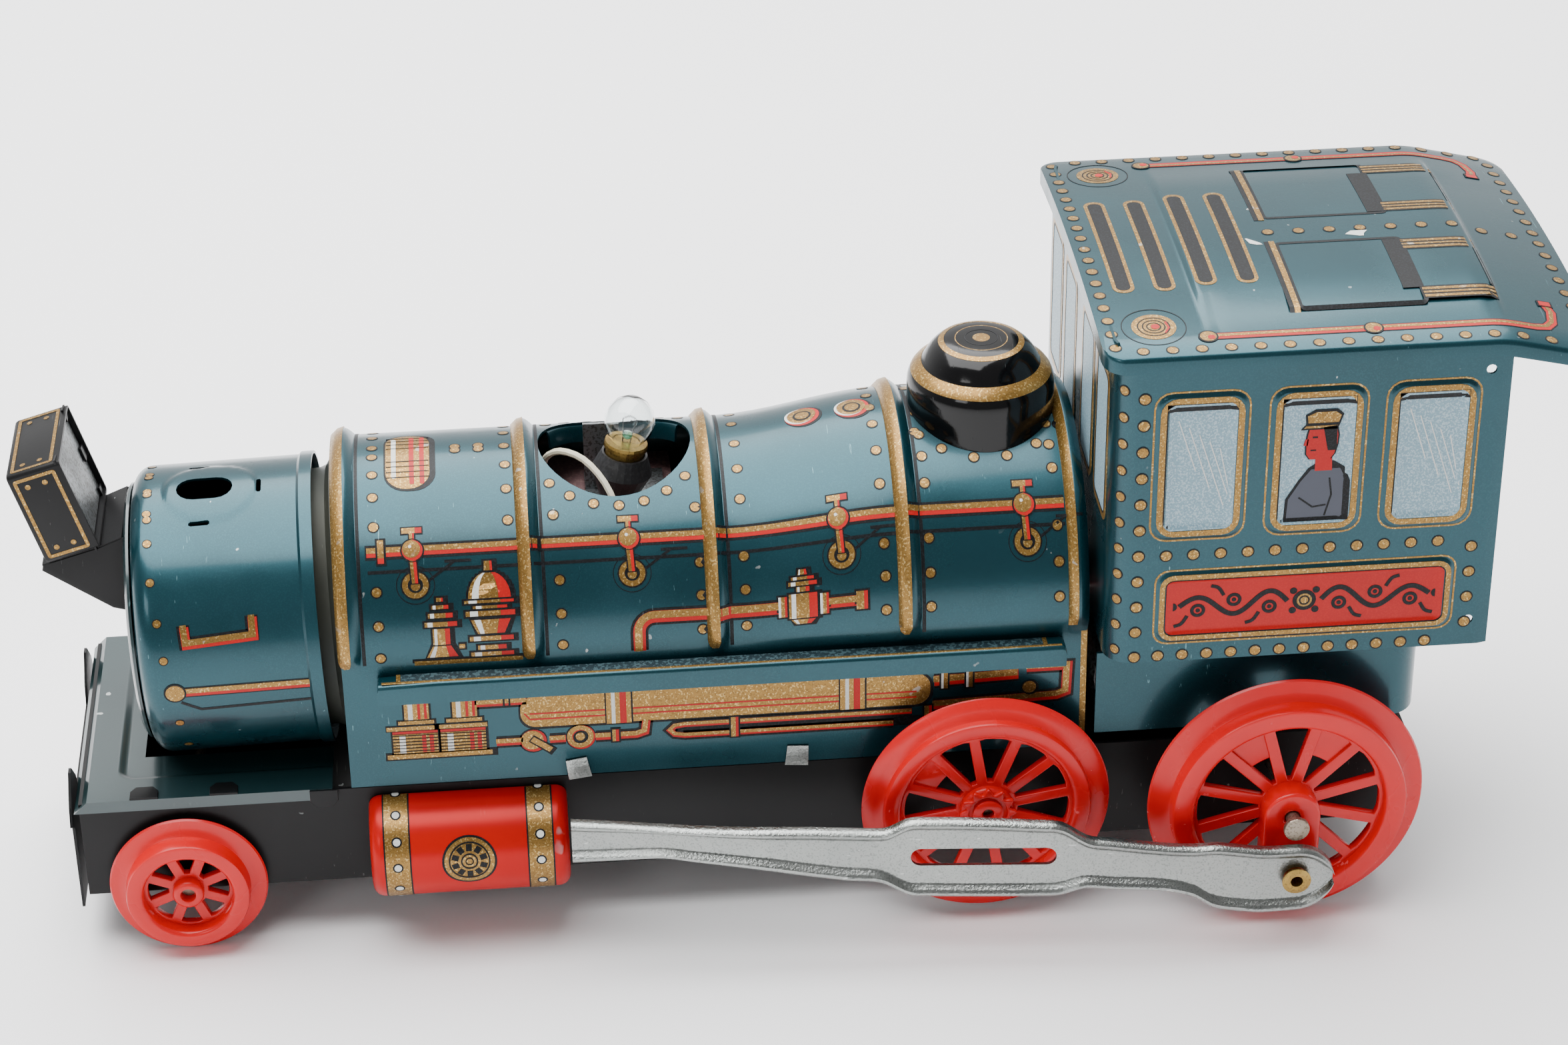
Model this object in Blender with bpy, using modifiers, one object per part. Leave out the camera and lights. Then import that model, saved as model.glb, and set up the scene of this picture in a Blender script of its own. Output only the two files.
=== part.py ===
"""Tin-plate toy steam locomotive, battery driven, as an assembly of its separate pieces.

Every length is in millimetres and every angle in degrees; MM turns lengths into metres.
The front of the engine points to -X, its left side to -Y, and Z is up from the floor. The
origin is on the floor, under the middle of the engine.
"""

import math

import bmesh
import bpy
from mathutils import Matrix, Vector

MM = 0.001
GAP = 0.3  # clearance that touching pieces keep
TIN = 0.6  # thickness of the tin sheet

# Overall
REAR_X = 164.5

# Chassis tray
CHASSIS_X = (-155.4, 133.0)
CHASSIS_HALF = 32.1
CHASSIS_Z = (14.3, 38.0)
SHEET = 0.8

# Boiler, with its wider firebox end
BOILER_X = (-97.0, 62.0)
BOILER_HALF = 33.1
BOILER_FOOT_Z = 38.9
BOILER_AXIS_Z = 69.7
BOILER_R = 32.7
FIREBOX_RISE = 2.4  # the firebox end grows and lifts by this much
TAPER_X = (-15.0, 23.0)
LAMP_HOLE_X = -36.8
LAMP_HOLE_R = 16.4

# Smokebox
DRUM_X = (-139.7, -101.0)
DRUM_R = 31.2
DRUM_AXIS_Z = 66.8
DRUM_PITCH = 1.5  # its rear end sits a little high
DRUM_TWIST = 6.3  # and the drum has turned towards the left side
STACK_HOLE_X = -124.4

# Cab
CAB_X = (63.6, 142.0)
CAB_HALF = 45.5
CAB_Z = (64.4, 139.6)
CAB_CORNER_R = 6.0
ROOF_X = (61.0, REAR_X)
ROOF_HALF = 46.9
ROOF_EDGE_Z = 141.0
ROOF_CROWN = 2.7
ROOF_BEND_X = 143.3
ROOF_DROOP = 13.0

# Wheels: axle X, axle height, flange radius, face of the flange from the middle plane
FRONT_AXLE = (-133.6, 17.0)
MIDDLE_AXLE = (39.5, 29.4)
REAR_AXLE = (104.2, 30.2)
AXLE_R = 1.5
BORE_R = 1.85
CRANK_R = 11.4

# Connecting rod
ROD_FACE_Y = 60.2
ROD_THICK = 1.6
ROD_FRONT_X = -50.6
ROD_FRONT_Y = 47.2

# Running boards
BOARD_X = (-89.7, 56.6)
BOARD_TOP_Z = 67.6
BOARD_EDGE = 38.0
BOARD_LIP = 4.8

# Steam dome
DOME_X = 42.4
DOME_R = 15.9

# Gears: teeth and module, then the pitch of each train
MODULE = 0.8
AXLE_GEAR_TEETH = 32
IDLER_SMALL_TEETH = 10
IDLER_LARGE_TEETH = 30
PINION_TEETH = 10
IDLER_ANGLE = 155.0  # of the idler from the rear axle, seen from the left
MOTOR_ANGLE = 140.0  # of the motor shaft from the idler

# Battery box
CELL_R = 16.4
CELL_TALL = 61.0
CELL_BASE_Z = 16.4
CELL_X = (-56.2, -22.4)
DOOR_X = (-80.0, 2.0)


def wipe():
    for obj in list(bpy.data.objects):
        bpy.data.objects.remove(obj, do_unlink=True)


def collection_named(name):
    found = bpy.data.collections.new(name)
    bpy.context.scene.collection.children.link(found)
    return found


wipe()
PARTS = collection_named("toy_steam_locomotive")
CUTTERS = collection_named("cutters")
ROOT = bpy.data.objects.new("locomotive_origin", None)
PARTS.objects.link(ROOT)


def material(name, colour, roughness, metallic, alpha=1.0):
    made = bpy.data.materials.new(name)
    made.use_nodes = True
    shader = made.node_tree.nodes["Principled BSDF"]
    shader.inputs["Base Color"].default_value = (*colour, 1.0)
    shader.inputs["Roughness"].default_value = roughness
    shader.inputs["Metallic"].default_value = metallic
    shader.inputs["Alpha"].default_value = alpha
    made.diffuse_color = (*colour, alpha)
    return made


TEAL = material("teal_litho", (0.02, 0.13, 0.17), 0.3, 0.6)
BLACK = material("black_paint", (0.012, 0.012, 0.013), 0.35, 0.2)
RED_TIN = material("red_litho", (0.60, 0.02, 0.02), 0.25, 0.1)
RED_PLASTIC = material("red_plastic", (0.65, 0.015, 0.02), 0.3, 0.0)
STEEL = material("bare_steel", (0.6, 0.62, 0.62), 0.35, 1.0)
BRASS = material("brass", (0.55, 0.4, 0.16), 0.3, 1.0)
FIBRE = material("fibre_board", (0.16, 0.08, 0.08), 0.6, 0.0)
GLASS = material("clear_glass", (0.95, 0.97, 0.97), 0.05, 0.0, 0.3)
IVORY = material("ivory_wire", (0.75, 0.70, 0.55), 0.4, 0.0)
RED_WIRE = material("red_wire", (0.35, 0.02, 0.02), 0.4, 0.0)
NYLON = material("gear_nylon", (0.75, 0.74, 0.68), 0.45, 0.0)
CELL = material("cell_jacket", (0.10, 0.11, 0.12), 0.45, 0.3)


def add(name, mesh, finish, place=None, holder=None):
    """Puts a mesh in the scene as one piece. place takes millimetres in its translation."""
    obj = bpy.data.objects.new(name, mesh)
    (holder or PARTS).objects.link(obj)
    if finish:
        mesh.materials.append(finish)
    if place is not None:
        obj.matrix_world = Matrix.Translation(place.translation * MM) @ place.to_3x3().to_4x4()
    if holder is None:
        obj.parent = ROOT
    else:
        obj.hide_render = True
        obj.display_type = "WIRE"
    return obj


def mesh_of(name, bm):
    mesh = bpy.data.meshes.new(name)
    bm.to_mesh(mesh)
    bm.free()
    return mesh


def smooth(obj, limit=40.0):
    obj.data.shade_smooth()
    obj.data.set_sharp_from_angle(angle=math.radians(limit))
    return obj


def add_box(bm, low, high):
    """Adds a box between two corners to bm."""
    low = Vector(low) * MM
    high = Vector(high) * MM
    size = Matrix.Diagonal((*(high - low), 1.0))
    bmesh.ops.create_cube(bm, size=1.0, matrix=Matrix.Translation((low + high) / 2) @ size)


def add_rod(bm, start, end, radius, end_radius=None, sides=24):
    """Adds a cylinder or cone from start to end to bm."""
    start = Vector(start) * MM
    along = Vector(end) * MM - start
    turn = along.to_track_quat("Z", "Y").to_matrix().to_4x4()
    bmesh.ops.create_cone(
        bm,
        cap_ends=True,
        segments=sides,
        radius1=radius * MM,
        radius2=(radius if end_radius is None else end_radius) * MM,
        depth=along.length,
        matrix=Matrix.Translation(start + along / 2) @ turn,
    )


def boxes(name, corners, finish=None, holder=None):
    bm = bmesh.new()
    for low, high in corners:
        add_box(bm, low, high)
    return add(name, mesh_of(name, bm), finish, None, holder)


def rods(name, ends, finish=None, holder=None, sides=24):
    """Cylinders given as (start, end, radius) or (start, end, radius, end radius)."""
    bm = bmesh.new()
    for start, end, *radii in ends:
        add_rod(bm, start, end, radii[0], radii[-1], sides)
    return smooth(add(name, mesh_of(name, bm), finish, None, holder))


def boolean(obj, other, operation):
    made = obj.modifiers.new(f"{operation.lower()} {other.name}", "BOOLEAN")
    made.operation = operation
    made.object = other
    return obj


def cut(obj, cutter):
    return boolean(obj, cutter, "DIFFERENCE")


def join(obj, other):
    return boolean(obj, other, "UNION")


def lathe(name, profile, finish, place, steps=32, closed=False, holder=None):
    """Turns a profile of (radius, height) about local Z. A closed profile makes a ring."""
    bm = bmesh.new()
    points = [bm.verts.new((radius * MM, 0.0, height * MM)) for radius, height in profile]
    for start, end in zip(points, points[1:]):
        bm.edges.new((start, end))
    if closed:
        bm.edges.new((points[-1], points[0]))
    obj = add(name, mesh_of(name, bm), finish, place, holder)
    screw = obj.modifiers.new("turn", "SCREW")
    screw.steps = steps
    screw.render_steps = steps
    screw.use_merge_vertices = True
    screw.merge_threshold = 0.00001
    screw.use_smooth_shade = True
    return obj


def loft(name, rows, thickness, finish, place=None):
    """A tin sheet through rows of points, its thickness on the inner side."""
    bm = bmesh.new()
    grid = [[bm.verts.new(Vector(point) * MM) for point in row] for row in rows]
    for row, after in zip(grid, grid[1:]):
        for i in range(len(row) - 1):
            bm.faces.new((row[i], after[i], after[i + 1], row[i + 1]))
    bmesh.ops.remove_doubles(bm, verts=bm.verts, dist=0.00001)
    obj = add(name, mesh_of(name, bm), finish, place)
    solid = obj.modifiers.new("sheet", "SOLIDIFY")
    solid.thickness = thickness * MM
    solid.offset = -1.0
    solid.use_even_offset = True
    return smooth(obj)


def plate(name, outlines, thickness, finish, place, holder=None):
    """A flat piece: its edge is the first outline, and the others are its openings."""
    curve = bpy.data.curves.new(name, "CURVE")
    curve.dimensions = "2D"
    curve.fill_mode = "BOTH"
    curve.extrude = thickness / 2 * MM
    for outline in outlines:
        spline = curve.splines.new("POLY")
        spline.points.add(len(outline) - 1)
        spline.use_cyclic_u = True
        for point, (x, y) in zip(spline.points, outline):
            point.co = (x * MM, y * MM, 0.0, 1.0)
    return add(name, mesh_from(curve), finish, place, holder)


def tube(name, route, radius, finish):
    """A round wire along a route of points."""
    curve = bpy.data.curves.new(name, "CURVE")
    curve.dimensions = "3D"
    curve.bevel_depth = radius * MM
    curve.bevel_resolution = 2
    curve.use_fill_caps = True
    spline = curve.splines.new("POLY")
    spline.points.add(len(route) - 1)
    for point, place in zip(spline.points, route):
        point.co = (*(Vector(place) * MM), 1.0)
    return smooth(add(name, mesh_from(curve), finish))


def mesh_from(curve):
    """The closed mesh of a curve, with its caps welded on."""
    name = curve.name
    guide = bpy.data.objects.new(name, curve)
    bpy.context.scene.collection.objects.link(guide)
    bpy.context.view_layer.update()
    mesh = bpy.data.meshes.new_from_object(guide.evaluated_get(bpy.context.evaluated_depsgraph_get()))
    bpy.data.objects.remove(guide, do_unlink=True)
    bm = bmesh.new()
    bm.from_mesh(mesh)
    bmesh.ops.remove_doubles(bm, verts=bm.verts, dist=0.000001)
    bm.to_mesh(mesh)
    bm.free()
    mesh.name = name
    return mesh


def smooth_route(points, steps):
    """Points along a Catmull-Rom curve through a few hand-set ones."""
    points = [Vector(point) for point in points]
    padded = [points[0] * 2 - points[1], *points, points[-1] * 2 - points[-2]]
    route = []
    for a, b, c, d in zip(padded, padded[1:], padded[2:], padded[3:]):
        for i in range(steps):
            t = i / steps
            route.append(
                b
                + (c - a) * (t / 2)
                + (a * 2 - b * 5 + c * 4 - d) * (t * t / 2)
                + (b * 3 - a - c * 3 + d) * (t**3 / 2)
            )
    return [*route, points[-1]]


def arc(radius, start, end, count, centre=(0.0, 0.0)):
    """count + 1 points from start to end, in degrees."""
    angles = [math.radians(start + (end - start) * i / count) for i in range(count + 1)]
    return [(centre[0] + radius * math.cos(a), centre[1] + radius * math.sin(a)) for a in angles]


def stadium(length, width, centre=(0.0, 0.0), count=6):
    """A slot outline along local X, length over all."""
    radius = width / 2
    reach = length / 2 - radius
    left = arc(radius, 90, 270, count, (centre[0] - reach, centre[1]))
    return left + arc(radius, -90, 90, count, (centre[0] + reach, centre[1]))


def turned(x, y, z, axis, degrees):
    return Matrix.Translation((x, y, z)) @ Matrix.Rotation(math.radians(degrees), 4, axis)


def facing_left(x, y, z):
    """Local X stays X, local Y points up and local Z points to -Y."""
    return turned(x, y, z, "X", 90)


def facing_right(x, y, z):
    return Matrix.Translation((x, y, z)) @ turned(0, 0, 0, "Z", 180) @ turned(0, 0, 0, "X", 90)


def facing_front(x, y, z):
    """Local Z points to -X and local X points up."""
    return turned(x, y, z, "Y", -90)


def facing_side(side, x, y, z):
    """Outward on the left (side -1) or on the right (side 1). y is the distance outward."""
    return facing_left(x, -y, z) if side < 0 else facing_right(x, y, z)


SIDES = {"left": -1, "right": 1}


# Chassis and front deck ---------------------------------------------------------------


def make_chassis():
    wall = SHEET
    (front, rear), half, (low, high) = CHASSIS_X, CHASSIS_HALF, CHASSIS_Z
    frame = boxes("chassis_frame", [((front, -half, low), (rear, half, high))], BLACK)
    inner = ((front + wall, wall - half, low + wall), (rear - wall, half - wall, high + 5))
    battery_opening = ((CELL_X[0] - 18.5, -18.0, low - 2), (CELL_X[1] + 18.5, 18.0, low + 2))
    switch_slot = ((rear - 2, -9.0, 27.0), (rear + 2, 9.0, 31.0))
    openings = {"chassis_hollow": inner, "battery_opening": battery_opening, "switch_slot": switch_slot}
    for name, opening in openings.items():
        cut(frame, boxes(name, [opening], None, CUTTERS))
    pad = ((-126.0, -18.0, low - 0.4), (-90.0, 18.0, low + 0.4))
    join(frame, boxes("underside_pad", [pad], None, CUTTERS))
    bores = [
        ((x, -half - 3, z), (x, half + 3, z), BORE_R)
        for x, z in (FRONT_AXLE, MIDDLE_AXLE, REAR_AXLE)
    ]
    cut(frame, rods("axle_bores", bores, None, CUTTERS, 16))
    web, lip, drop = 22.9, 20.6, 2.1
    for side, sign in SIDES.items():
        webs = sorted((sign * web, sign * (web + wall)))
        lips = sorted((sign * lip, sign * (web + wall)))
        rail = boxes(f"rail_web_{side}", [
            ((DOOR_X[0] - 1, webs[0], low - drop), (DOOR_X[1] + 1, webs[1], low + 0.4))
        ], None, CUTTERS)
        foot = boxes(f"rail_lip_{side}", [
            ((DOOR_X[0] - 1, lips[0], low - drop), (DOOR_X[1] + 1, lips[1], low - drop + 0.7))
        ], None, CUTTERS)
        join(frame, rail)
        join(frame, foot)


def lipped(stations, depth):
    """Rows over a tray turned upside down: a flat top with a lip of this depth all round.

    Each station is (x, half width, middle z, edge z).
    """
    count = 6
    rows = []
    for x, half, crown, edge in stations:
        row = [(x, -half, edge - depth)]
        for i in range(count + 1):
            across = 2 * i / count - 1
            row.append((x, across * half, crown + (edge - crown) * across**2))
        rows.append([*row, (x, half, edge - depth)])
    first = [(x, y, stations[0][3] - depth) for x, y, z in rows[0]]
    last = [(x, y, stations[-1][3] - depth) for x, y, z in rows[-1]]
    return [first, *rows, last]


def make_deck():
    top, half, rear = 39.0, 33.1, -98.2
    stations = [(x, half, top, top) for x in (CHASSIS_X[0] - 1.0, rear)]
    deck = loft("front_deck", lipped(stations, 2.8)[:-1], TIN, TEAL)
    cut(deck, boxes("drum_opening", [((-142.0, -15.6, 30.0), (-100.0, 15.6, 45.0))], None, CUTTERS))


def make_pilot():
    x, half, low, high = CHASSIS_X[0] - 2.0, 29.0, 8.9, 30.0
    ear_y, ear_half, tip = 24.0, 8.0, 41.5
    outline = [(-half, low), (half, low), (half, high)]
    for centre in (ear_y, -ear_y):
        outline += [
            (centre + ear_half, high + 2.0),
            (centre + ear_half * 0.8, high + 6.0),
            (centre + 1.0, tip),
            (centre - 1.0, tip),
            (centre - ear_half * 0.8, high + 6.0),
            (centre - ear_half, high + 2.0),
        ]
    outline.append((-half, high))
    upright = Matrix.Translation((x, 0, 0)) @ Matrix(((0, 0, 1), (1, 0, 0), (0, 1, 0))).to_4x4()
    plate("pilot_plate", [outline], TIN, BLACK, upright)


# Smokebox and headlamp ------------------------------------------------------------------


def make_smokebox():
    front, rear = DRUM_X
    middle = (front + rear) / 2
    long = rear - front
    tilt = turned(0, 0, 0, "Y", -DRUM_PITCH)
    place = Matrix.Translation((middle, 0, DRUM_AXIS_Z)) @ tilt @ facing_front(0, 0, 0)
    nose, tail, bend = long / 2, -long / 2, 4.0
    outer = [(DRUM_R - bend + x, nose - bend + z) for x, z in arc(bend, 90, 0, 2)]
    inner = [(x - TIN, z - TIN) for x, z in outer]
    profile = [(25.0, nose), *outer, (DRUM_R, tail + 2.5), (DRUM_R + 0.6, tail + 2), (DRUM_R + 0.6, tail)]
    profile += [(DRUM_R - TIN, tail), *reversed(inner), (25.0, nose - TIN)]
    drum = lathe("smokebox_drum", profile, TEAL, place, 32, True)
    twist = turned(0, 0, 0, "X", DRUM_TWIST)
    above = Matrix.Translation((STACK_HOLE_X, 0, DRUM_AXIS_Z)) @ twist
    hole = plate("stack_hole", [stadium(12.0, 7.4)], 20.0, None,
                 above @ Matrix.Translation((0, 0, DRUM_R)), CUTTERS)
    cut(drum, hole)
    for name, x, y, turn in (("rear", 11.5, 0, 90), ("far", -1.5, 10.0, 0), ("near", -1.0, -10.0, 0)):
        spot = Matrix.Translation((x, y, DRUM_R - 1)) @ turned(0, 0, 0, "Z", turn)
        cut(drum, plate(f"stack_slit_{name}", [stadium(4.6, 1.0)], 12.0, None, above @ spot, CUTTERS))
    disc = [(0.0, nose + 2.6), (9.0, nose + 2.3), (12.0, nose + 1.5), (27.0, nose + 1.3)]
    disc += [(27.9, nose + 0.9), (27.9, nose + GAP), (0.0, nose + GAP)]
    lathe("smokebox_door", disc, TEAL, place, 32)
    neck_place = facing_front(DRUM_X[1], 0, DRUM_AXIS_Z + 1.0)
    ring = [(28.0, 1.5), (28.0, -3.6), (28.0 - TIN, -3.6), (28.0 - TIN, 1.5)]
    lathe("smokebox_neck", ring, BLACK, neck_place, 32, True)


def make_headlamp():
    lean = 16.3
    deep, tall, wide = 12.0, 22.4, 25.0
    place = turned(-155.6, 0, 99.0, "Y", -lean)
    bm = bmesh.new()
    add_box(bm, (-deep / 2, -wide / 2, -tall / 2), (deep / 2, wide / 2, tall / 2))
    lamp = add("headlamp_box", mesh_of("headlamp_box", bm), BLACK, place)
    bm = bmesh.new()
    add_box(bm, (-deep / 2 + TIN, -wide / 2 + TIN, -tall / 2 + TIN), (deep, wide / 2 - TIN, tall / 2 - TIN))
    cut(lamp, add("headlamp_hollow", mesh_of("headlamp_hollow", bm), None, place, CUTTERS))
    bm = bmesh.new()
    edge = TIN + GAP
    add_box(bm, (deep / 2 - 1.8, -wide / 2 + edge, -tall / 2 + edge), (deep / 2 - 1.2, wide / 2 - edge, tall / 2 - edge))
    add("headlamp_back", mesh_of("headlamp_back", bm), BLACK, place)
    notch = arc(2.6, 110, 250, 5, (-144.2, 83.0))
    side = [(-142.6, 73.3), (-145.5, 74.0), (-159.4, 84.4), (-159.0, 85.4), (-147.2, 89.0), (-143.2, 90.6)]
    side += notch
    outer = 11.0
    bracket = plate("headlamp_bracket", [side], TIN, BLACK, facing_left(0, -outer, 0))
    mate = plate("bracket_far_side", [side], TIN, None, facing_left(0, outer, 0), CUTTERS)
    join(bracket, mate)
    shelf = [(-159.2, 85.1), (-159.4, 84.3), (-145.6, 74.0), (-145.0, 74.7)]
    join(bracket, plate("bracket_shelf", [shelf], 2 * outer, None, facing_left(0, 0, 0), CUTTERS))


# Boiler ---------------------------------------------------------------------------------


def firebox_rise(x):
    share = min(max((x - TAPER_X[0]) / (TAPER_X[1] - TAPER_X[0]), 0.0), 1.0)
    return FIREBOX_RISE * share * share * (3 - 2 * share)


def boiler_row(x):
    rise = firebox_rise(x)
    over = [(x, y, BOILER_AXIS_Z + rise + z) for y, z in arc(BOILER_R + rise, 180, 0, 18)]
    step = BOILER_AXIS_Z - 0.9
    left = [(x, -BOILER_HALF, BOILER_FOOT_Z), (x, -BOILER_HALF, step)]
    right = [(x, BOILER_HALF, step), (x, BOILER_HALF, BOILER_FOOT_Z)]
    return left + over + right


def make_boiler():
    stations = [BOILER_X[0], TAPER_X[0], -7.0, 4.0, 14.0, TAPER_X[1], BOILER_X[1]]
    shell = loft("boiler_shell", [boiler_row(x) for x in stations], TIN, TEAL)
    hole = [((LAMP_HOLE_X, 0, 85.0), (LAMP_HOLE_X, 0, 110.0), LAMP_HOLE_R)]
    cut(shell, rods("lamp_hole", hole, None, CUTTERS, 36))


def make_running_boards():
    front, rear = BOARD_X
    for side, sign in SIDES.items():
        inner, outer, top = BOILER_HALF + GAP, BOARD_EDGE, BOARD_TOP_Z
        section = [(inner, top - 5.0), (inner, top), (outer, top), (outer, top - BOARD_LIP)]
        if sign > 0:
            section.reverse()
        rows = [[(x, sign * y, z) for y, z in reversed(section)] for x in (front, rear)]
        loft(f"running_board_{side}", rows, TIN, TEAL)


def make_dome():
    base = BOILER_AXIS_Z + 32.0
    outer = [(0.0, 121.9), (6.0, 121.6), (9.5, 120.4), (12.75, 117.6), (14.6, 116.0), (16.5, 115.4)]
    outer += [(16.9, 114.4), (16.5, 113.2), (DOME_R, 112.5), (DOME_R, base)]
    inner = [(DOME_R - 0.8, base), (DOME_R - 0.8, 113.4), (12.0, 116.8), (0.0, 120.9)]
    dome = lathe("steam_dome", outer + inner, BLACK, Matrix.Translation((DOME_X, 0, 0)), 28)
    reach, height = BOILER_R + FIREBOX_RISE + GAP, BOILER_AXIS_Z + FIREBOX_RISE
    saddle = [((DOME_X - 25, 0, height), (DOME_X + 25, 0, height), reach)]
    cut(dome, rods("dome_saddle", saddle, None, CUTTERS, 60))


# Cab ------------------------------------------------------------------------------------


def make_cab():
    (front, rear), half, radius = CAB_X, CAB_HALF, CAB_CORNER_R
    plan = [(rear + 3.5, -half), (rear, -half), (100.0, -half)]
    plan += arc(radius, 270, 180, 4, (front + radius, radius - half))
    plan += arc(radius, 180, 90, 4, (front + radius, half - radius))
    plan += [(100.0, half), (rear, half), (rear + 3.5, half)]
    rows = [[(x, y, z) for x, y in plan] for z in CAB_Z]
    loft("cab_body", rows, TIN, TEAL)


def make_roof():
    corner = 5.0
    stations = []
    for x, y in arc(corner, 180, 90, 4, (ROOF_X[0] + corner, ROOF_HALF - corner)):
        stations.append((x, y, ROOF_EDGE_Z + ROOF_CROWN * 0.8, ROOF_EDGE_Z))
    crown = ROOF_EDGE_Z + ROOF_CROWN
    stations += [(x, ROOF_HALF, crown, ROOF_EDGE_Z) for x in (85.0, 115.0, ROOF_BEND_X)]
    slope = math.tan(math.radians(ROOF_DROOP))
    for x, y in arc(corner, 90, 0, 4, (ROOF_X[1] - corner, ROOF_HALF - corner)):
        drop = (x - ROOF_BEND_X) * slope
        stations.append((x, y, crown - drop, ROOF_EDGE_Z - drop))
    loft("cab_roof", lipped(stations, 3.6), TIN, TEAL)


def make_cab_base():
    front, rear, half, corner = 63.4, 134.6, 36.0, 7.0
    plan = [(front, half)]
    plan += arc(corner, 90, 0, 4, (rear - corner, half - corner))
    plan += arc(corner, 0, -90, 4, (rear - corner, corner - half))
    plan += [(front, -half)]
    rows = [[(x, y, z) for x, y in plan] for z in (38.6, 64.0)]
    loft("cab_base", rows, TIN, TEAL)


# Cylinders, rods and wheels ---------------------------------------------------------------


def make_cylinders():
    front, rear, radius, axis_y, axis_z = -93.7, -51.0, 11.8, 33.0, 24.3
    bend = 2.5
    for side, sign in SIDES.items():
        nose = (rear - front) / 2
        round_edge = [(radius - bend + x, nose - bend + z) for x, z in arc(bend, 90, 0, 3)]
        tail = [(x, -z) for x, z in reversed(round_edge)]
        outer = [(0.0, nose), *round_edge, *tail, (0.0, -nose)]
        place = facing_front((front + rear) / 2, sign * axis_y, axis_z)
        barrel = lathe(f"cylinder_{side}", outer, RED_TIN, place, 28)
        bore = [((front + 0.8, sign * axis_y, axis_z), (rear - 0.8, sign * axis_y, axis_z), radius - 0.8)]
        cut(barrel, rods(f"cylinder_hollow_{side}", bore, None, CUTTERS, 28))
        inner = sign * (CHASSIS_HALF + GAP)
        near, far = sorted((0.0, inner))
        cut(barrel, boxes(f"cylinder_back_{side}", [((front - 2, near, 5.0), (rear + 2, far, 45.0))],
                          None, CUTTERS))


def rod_outline():
    """Stations of the rod from its front end: x, lower edge, upper edge, outer face."""
    pin_x, pin_z = REAR_AXLE[0], REAR_AXLE[1] - CRANK_R
    tip = 8.3
    edges = (
        (ROD_FRONT_X, 6.6, 17.3), (-40.0, 7.2, 16.6), (-32.0, 7.6, 15.9), (-14.0, 4.8, 14.8), (0.0, 2.4, 14.6),
        (14.5, 0.6, 13.9), (21.0, -2.7, 16.7), (51.0, -3.2, 15.8), (55.0, -2.8, 15.0), (60.0, -1.6, 11.6),
        (83.0, -4.2, 9.2), (87.0, -6.6, 9.4),
    )
    splay = (ROD_FACE_Y - ROD_FRONT_Y) / (96.0 - ROD_FRONT_X)
    stations = [(x, pin_z + low, pin_z + high, ROD_FRONT_Y + splay * (x - ROD_FRONT_X)) for x, low, high in edges]
    for x, z in arc(tip, 110, 10, 6, (pin_x, 0.0)):
        stations.append((x, pin_z - z, pin_z + z, ROD_FACE_Y))
    return stations


def make_rods():
    pin_x, pin_z = REAR_AXLE[0], REAR_AXLE[1] - CRANK_R
    for side, sign in SIDES.items():
        rows = []
        for x, low, high, face in rod_outline():
            ends = (low, high) if sign < 0 else (high, low)
            rows.append([(x, sign * face, z) for z in ends])
        rod = loft(f"connecting_rod_{side}", rows, ROD_THICK, STEEL)
        spot = facing_side(sign, 37.0, 55.0, pin_z + 6.7)
        slot = [stadium(31.0, 4.4)]
        cut(rod, plate(f"rod_slot_{side}", slot, 12.0, None, spot, CUTTERS))
        bore = [((pin_x, sign * 50.0, pin_z), (pin_x, sign * 66.0, pin_z), 2.6)]
        cut(rod, rods(f"rod_eye_{side}", bore, None, CUTTERS, 16))


def make_eyelets():
    pin_x, pin_z = REAR_AXLE[0], REAR_AXLE[1] - CRANK_R
    boss_face = 53.5
    for side, sign in SIDES.items():
        head, foot = ROD_FACE_Y + GAP, boss_face + GAP
        ring = [(2.2, head + 0.6), (3.15, head + 0.3), (3.15, head), (2.2, head), (2.2, foot)]
        ring += [(1.35, foot), (1.35, head + 0.4)]
        lathe(f"crank_eyelet_{side}", ring, BRASS, facing_side(sign, pin_x, 0, pin_z), 20, True)


def wheel(name, side, axle, flange, tread, opening, hub, faces, spokes, spoke_wide, first, finish):
    """A spoked wheel on its axle.

    faces are the distances outward of the flange's back, the flange's face, the rim's face,
    the web's face and the hub's face.
    """
    back, flange_face, rim_face, web_face, hub_face = faces
    x, z = axle
    place = facing_side(SIDES[side], x, 0, z)
    rim = [
        (opening, rim_face), (tread - 1.0, rim_face), (tread, rim_face - 1.0),
        (tread, flange_face), (flange, flange_face), (flange, back), (opening, back),
    ]
    made = lathe(name, rim, finish, place, 28, True)
    edge = arc(opening + 0.4, 0, 360 * 23 / 24, 23)
    holes = []
    for i in range(spokes):
        middle = first + 360.0 * (i + 0.5) / spokes
        outer_half = 180.0 / spokes - math.degrees(spoke_wide / 2 / (opening - 0.6))
        inner_r = hub + 1.2
        inner_half = max(180.0 / spokes - math.degrees(spoke_wide / 2 / inner_r), 3.0)
        hole = arc(opening - 0.5, middle - outer_half, middle + outer_half, 2)
        holes.append(hole + arc(inner_r, middle + inner_half, middle - inner_half, 1))
    thick = 2.0
    web_place = place @ Matrix.Translation((0, 0, web_face - thick / 2))
    join(made, plate(f"{name}_web", [edge, *holes], thick, None, web_place, CUTTERS))
    nave = [(0.0, hub_face), (hub, hub_face), (hub, back + 0.2), (0.0, back + 0.2)]
    join(made, lathe(f"{name}_nave", nave, None, place, 16, False, CUTTERS))
    return made


def bore(made, axle):
    x, z = axle
    ends = [((x, -70.0, z), (x, 70.0, z), BORE_R)]
    cut(made, rods(f"{made.name}_bore", ends, None, CUTTERS, 16))


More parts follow.
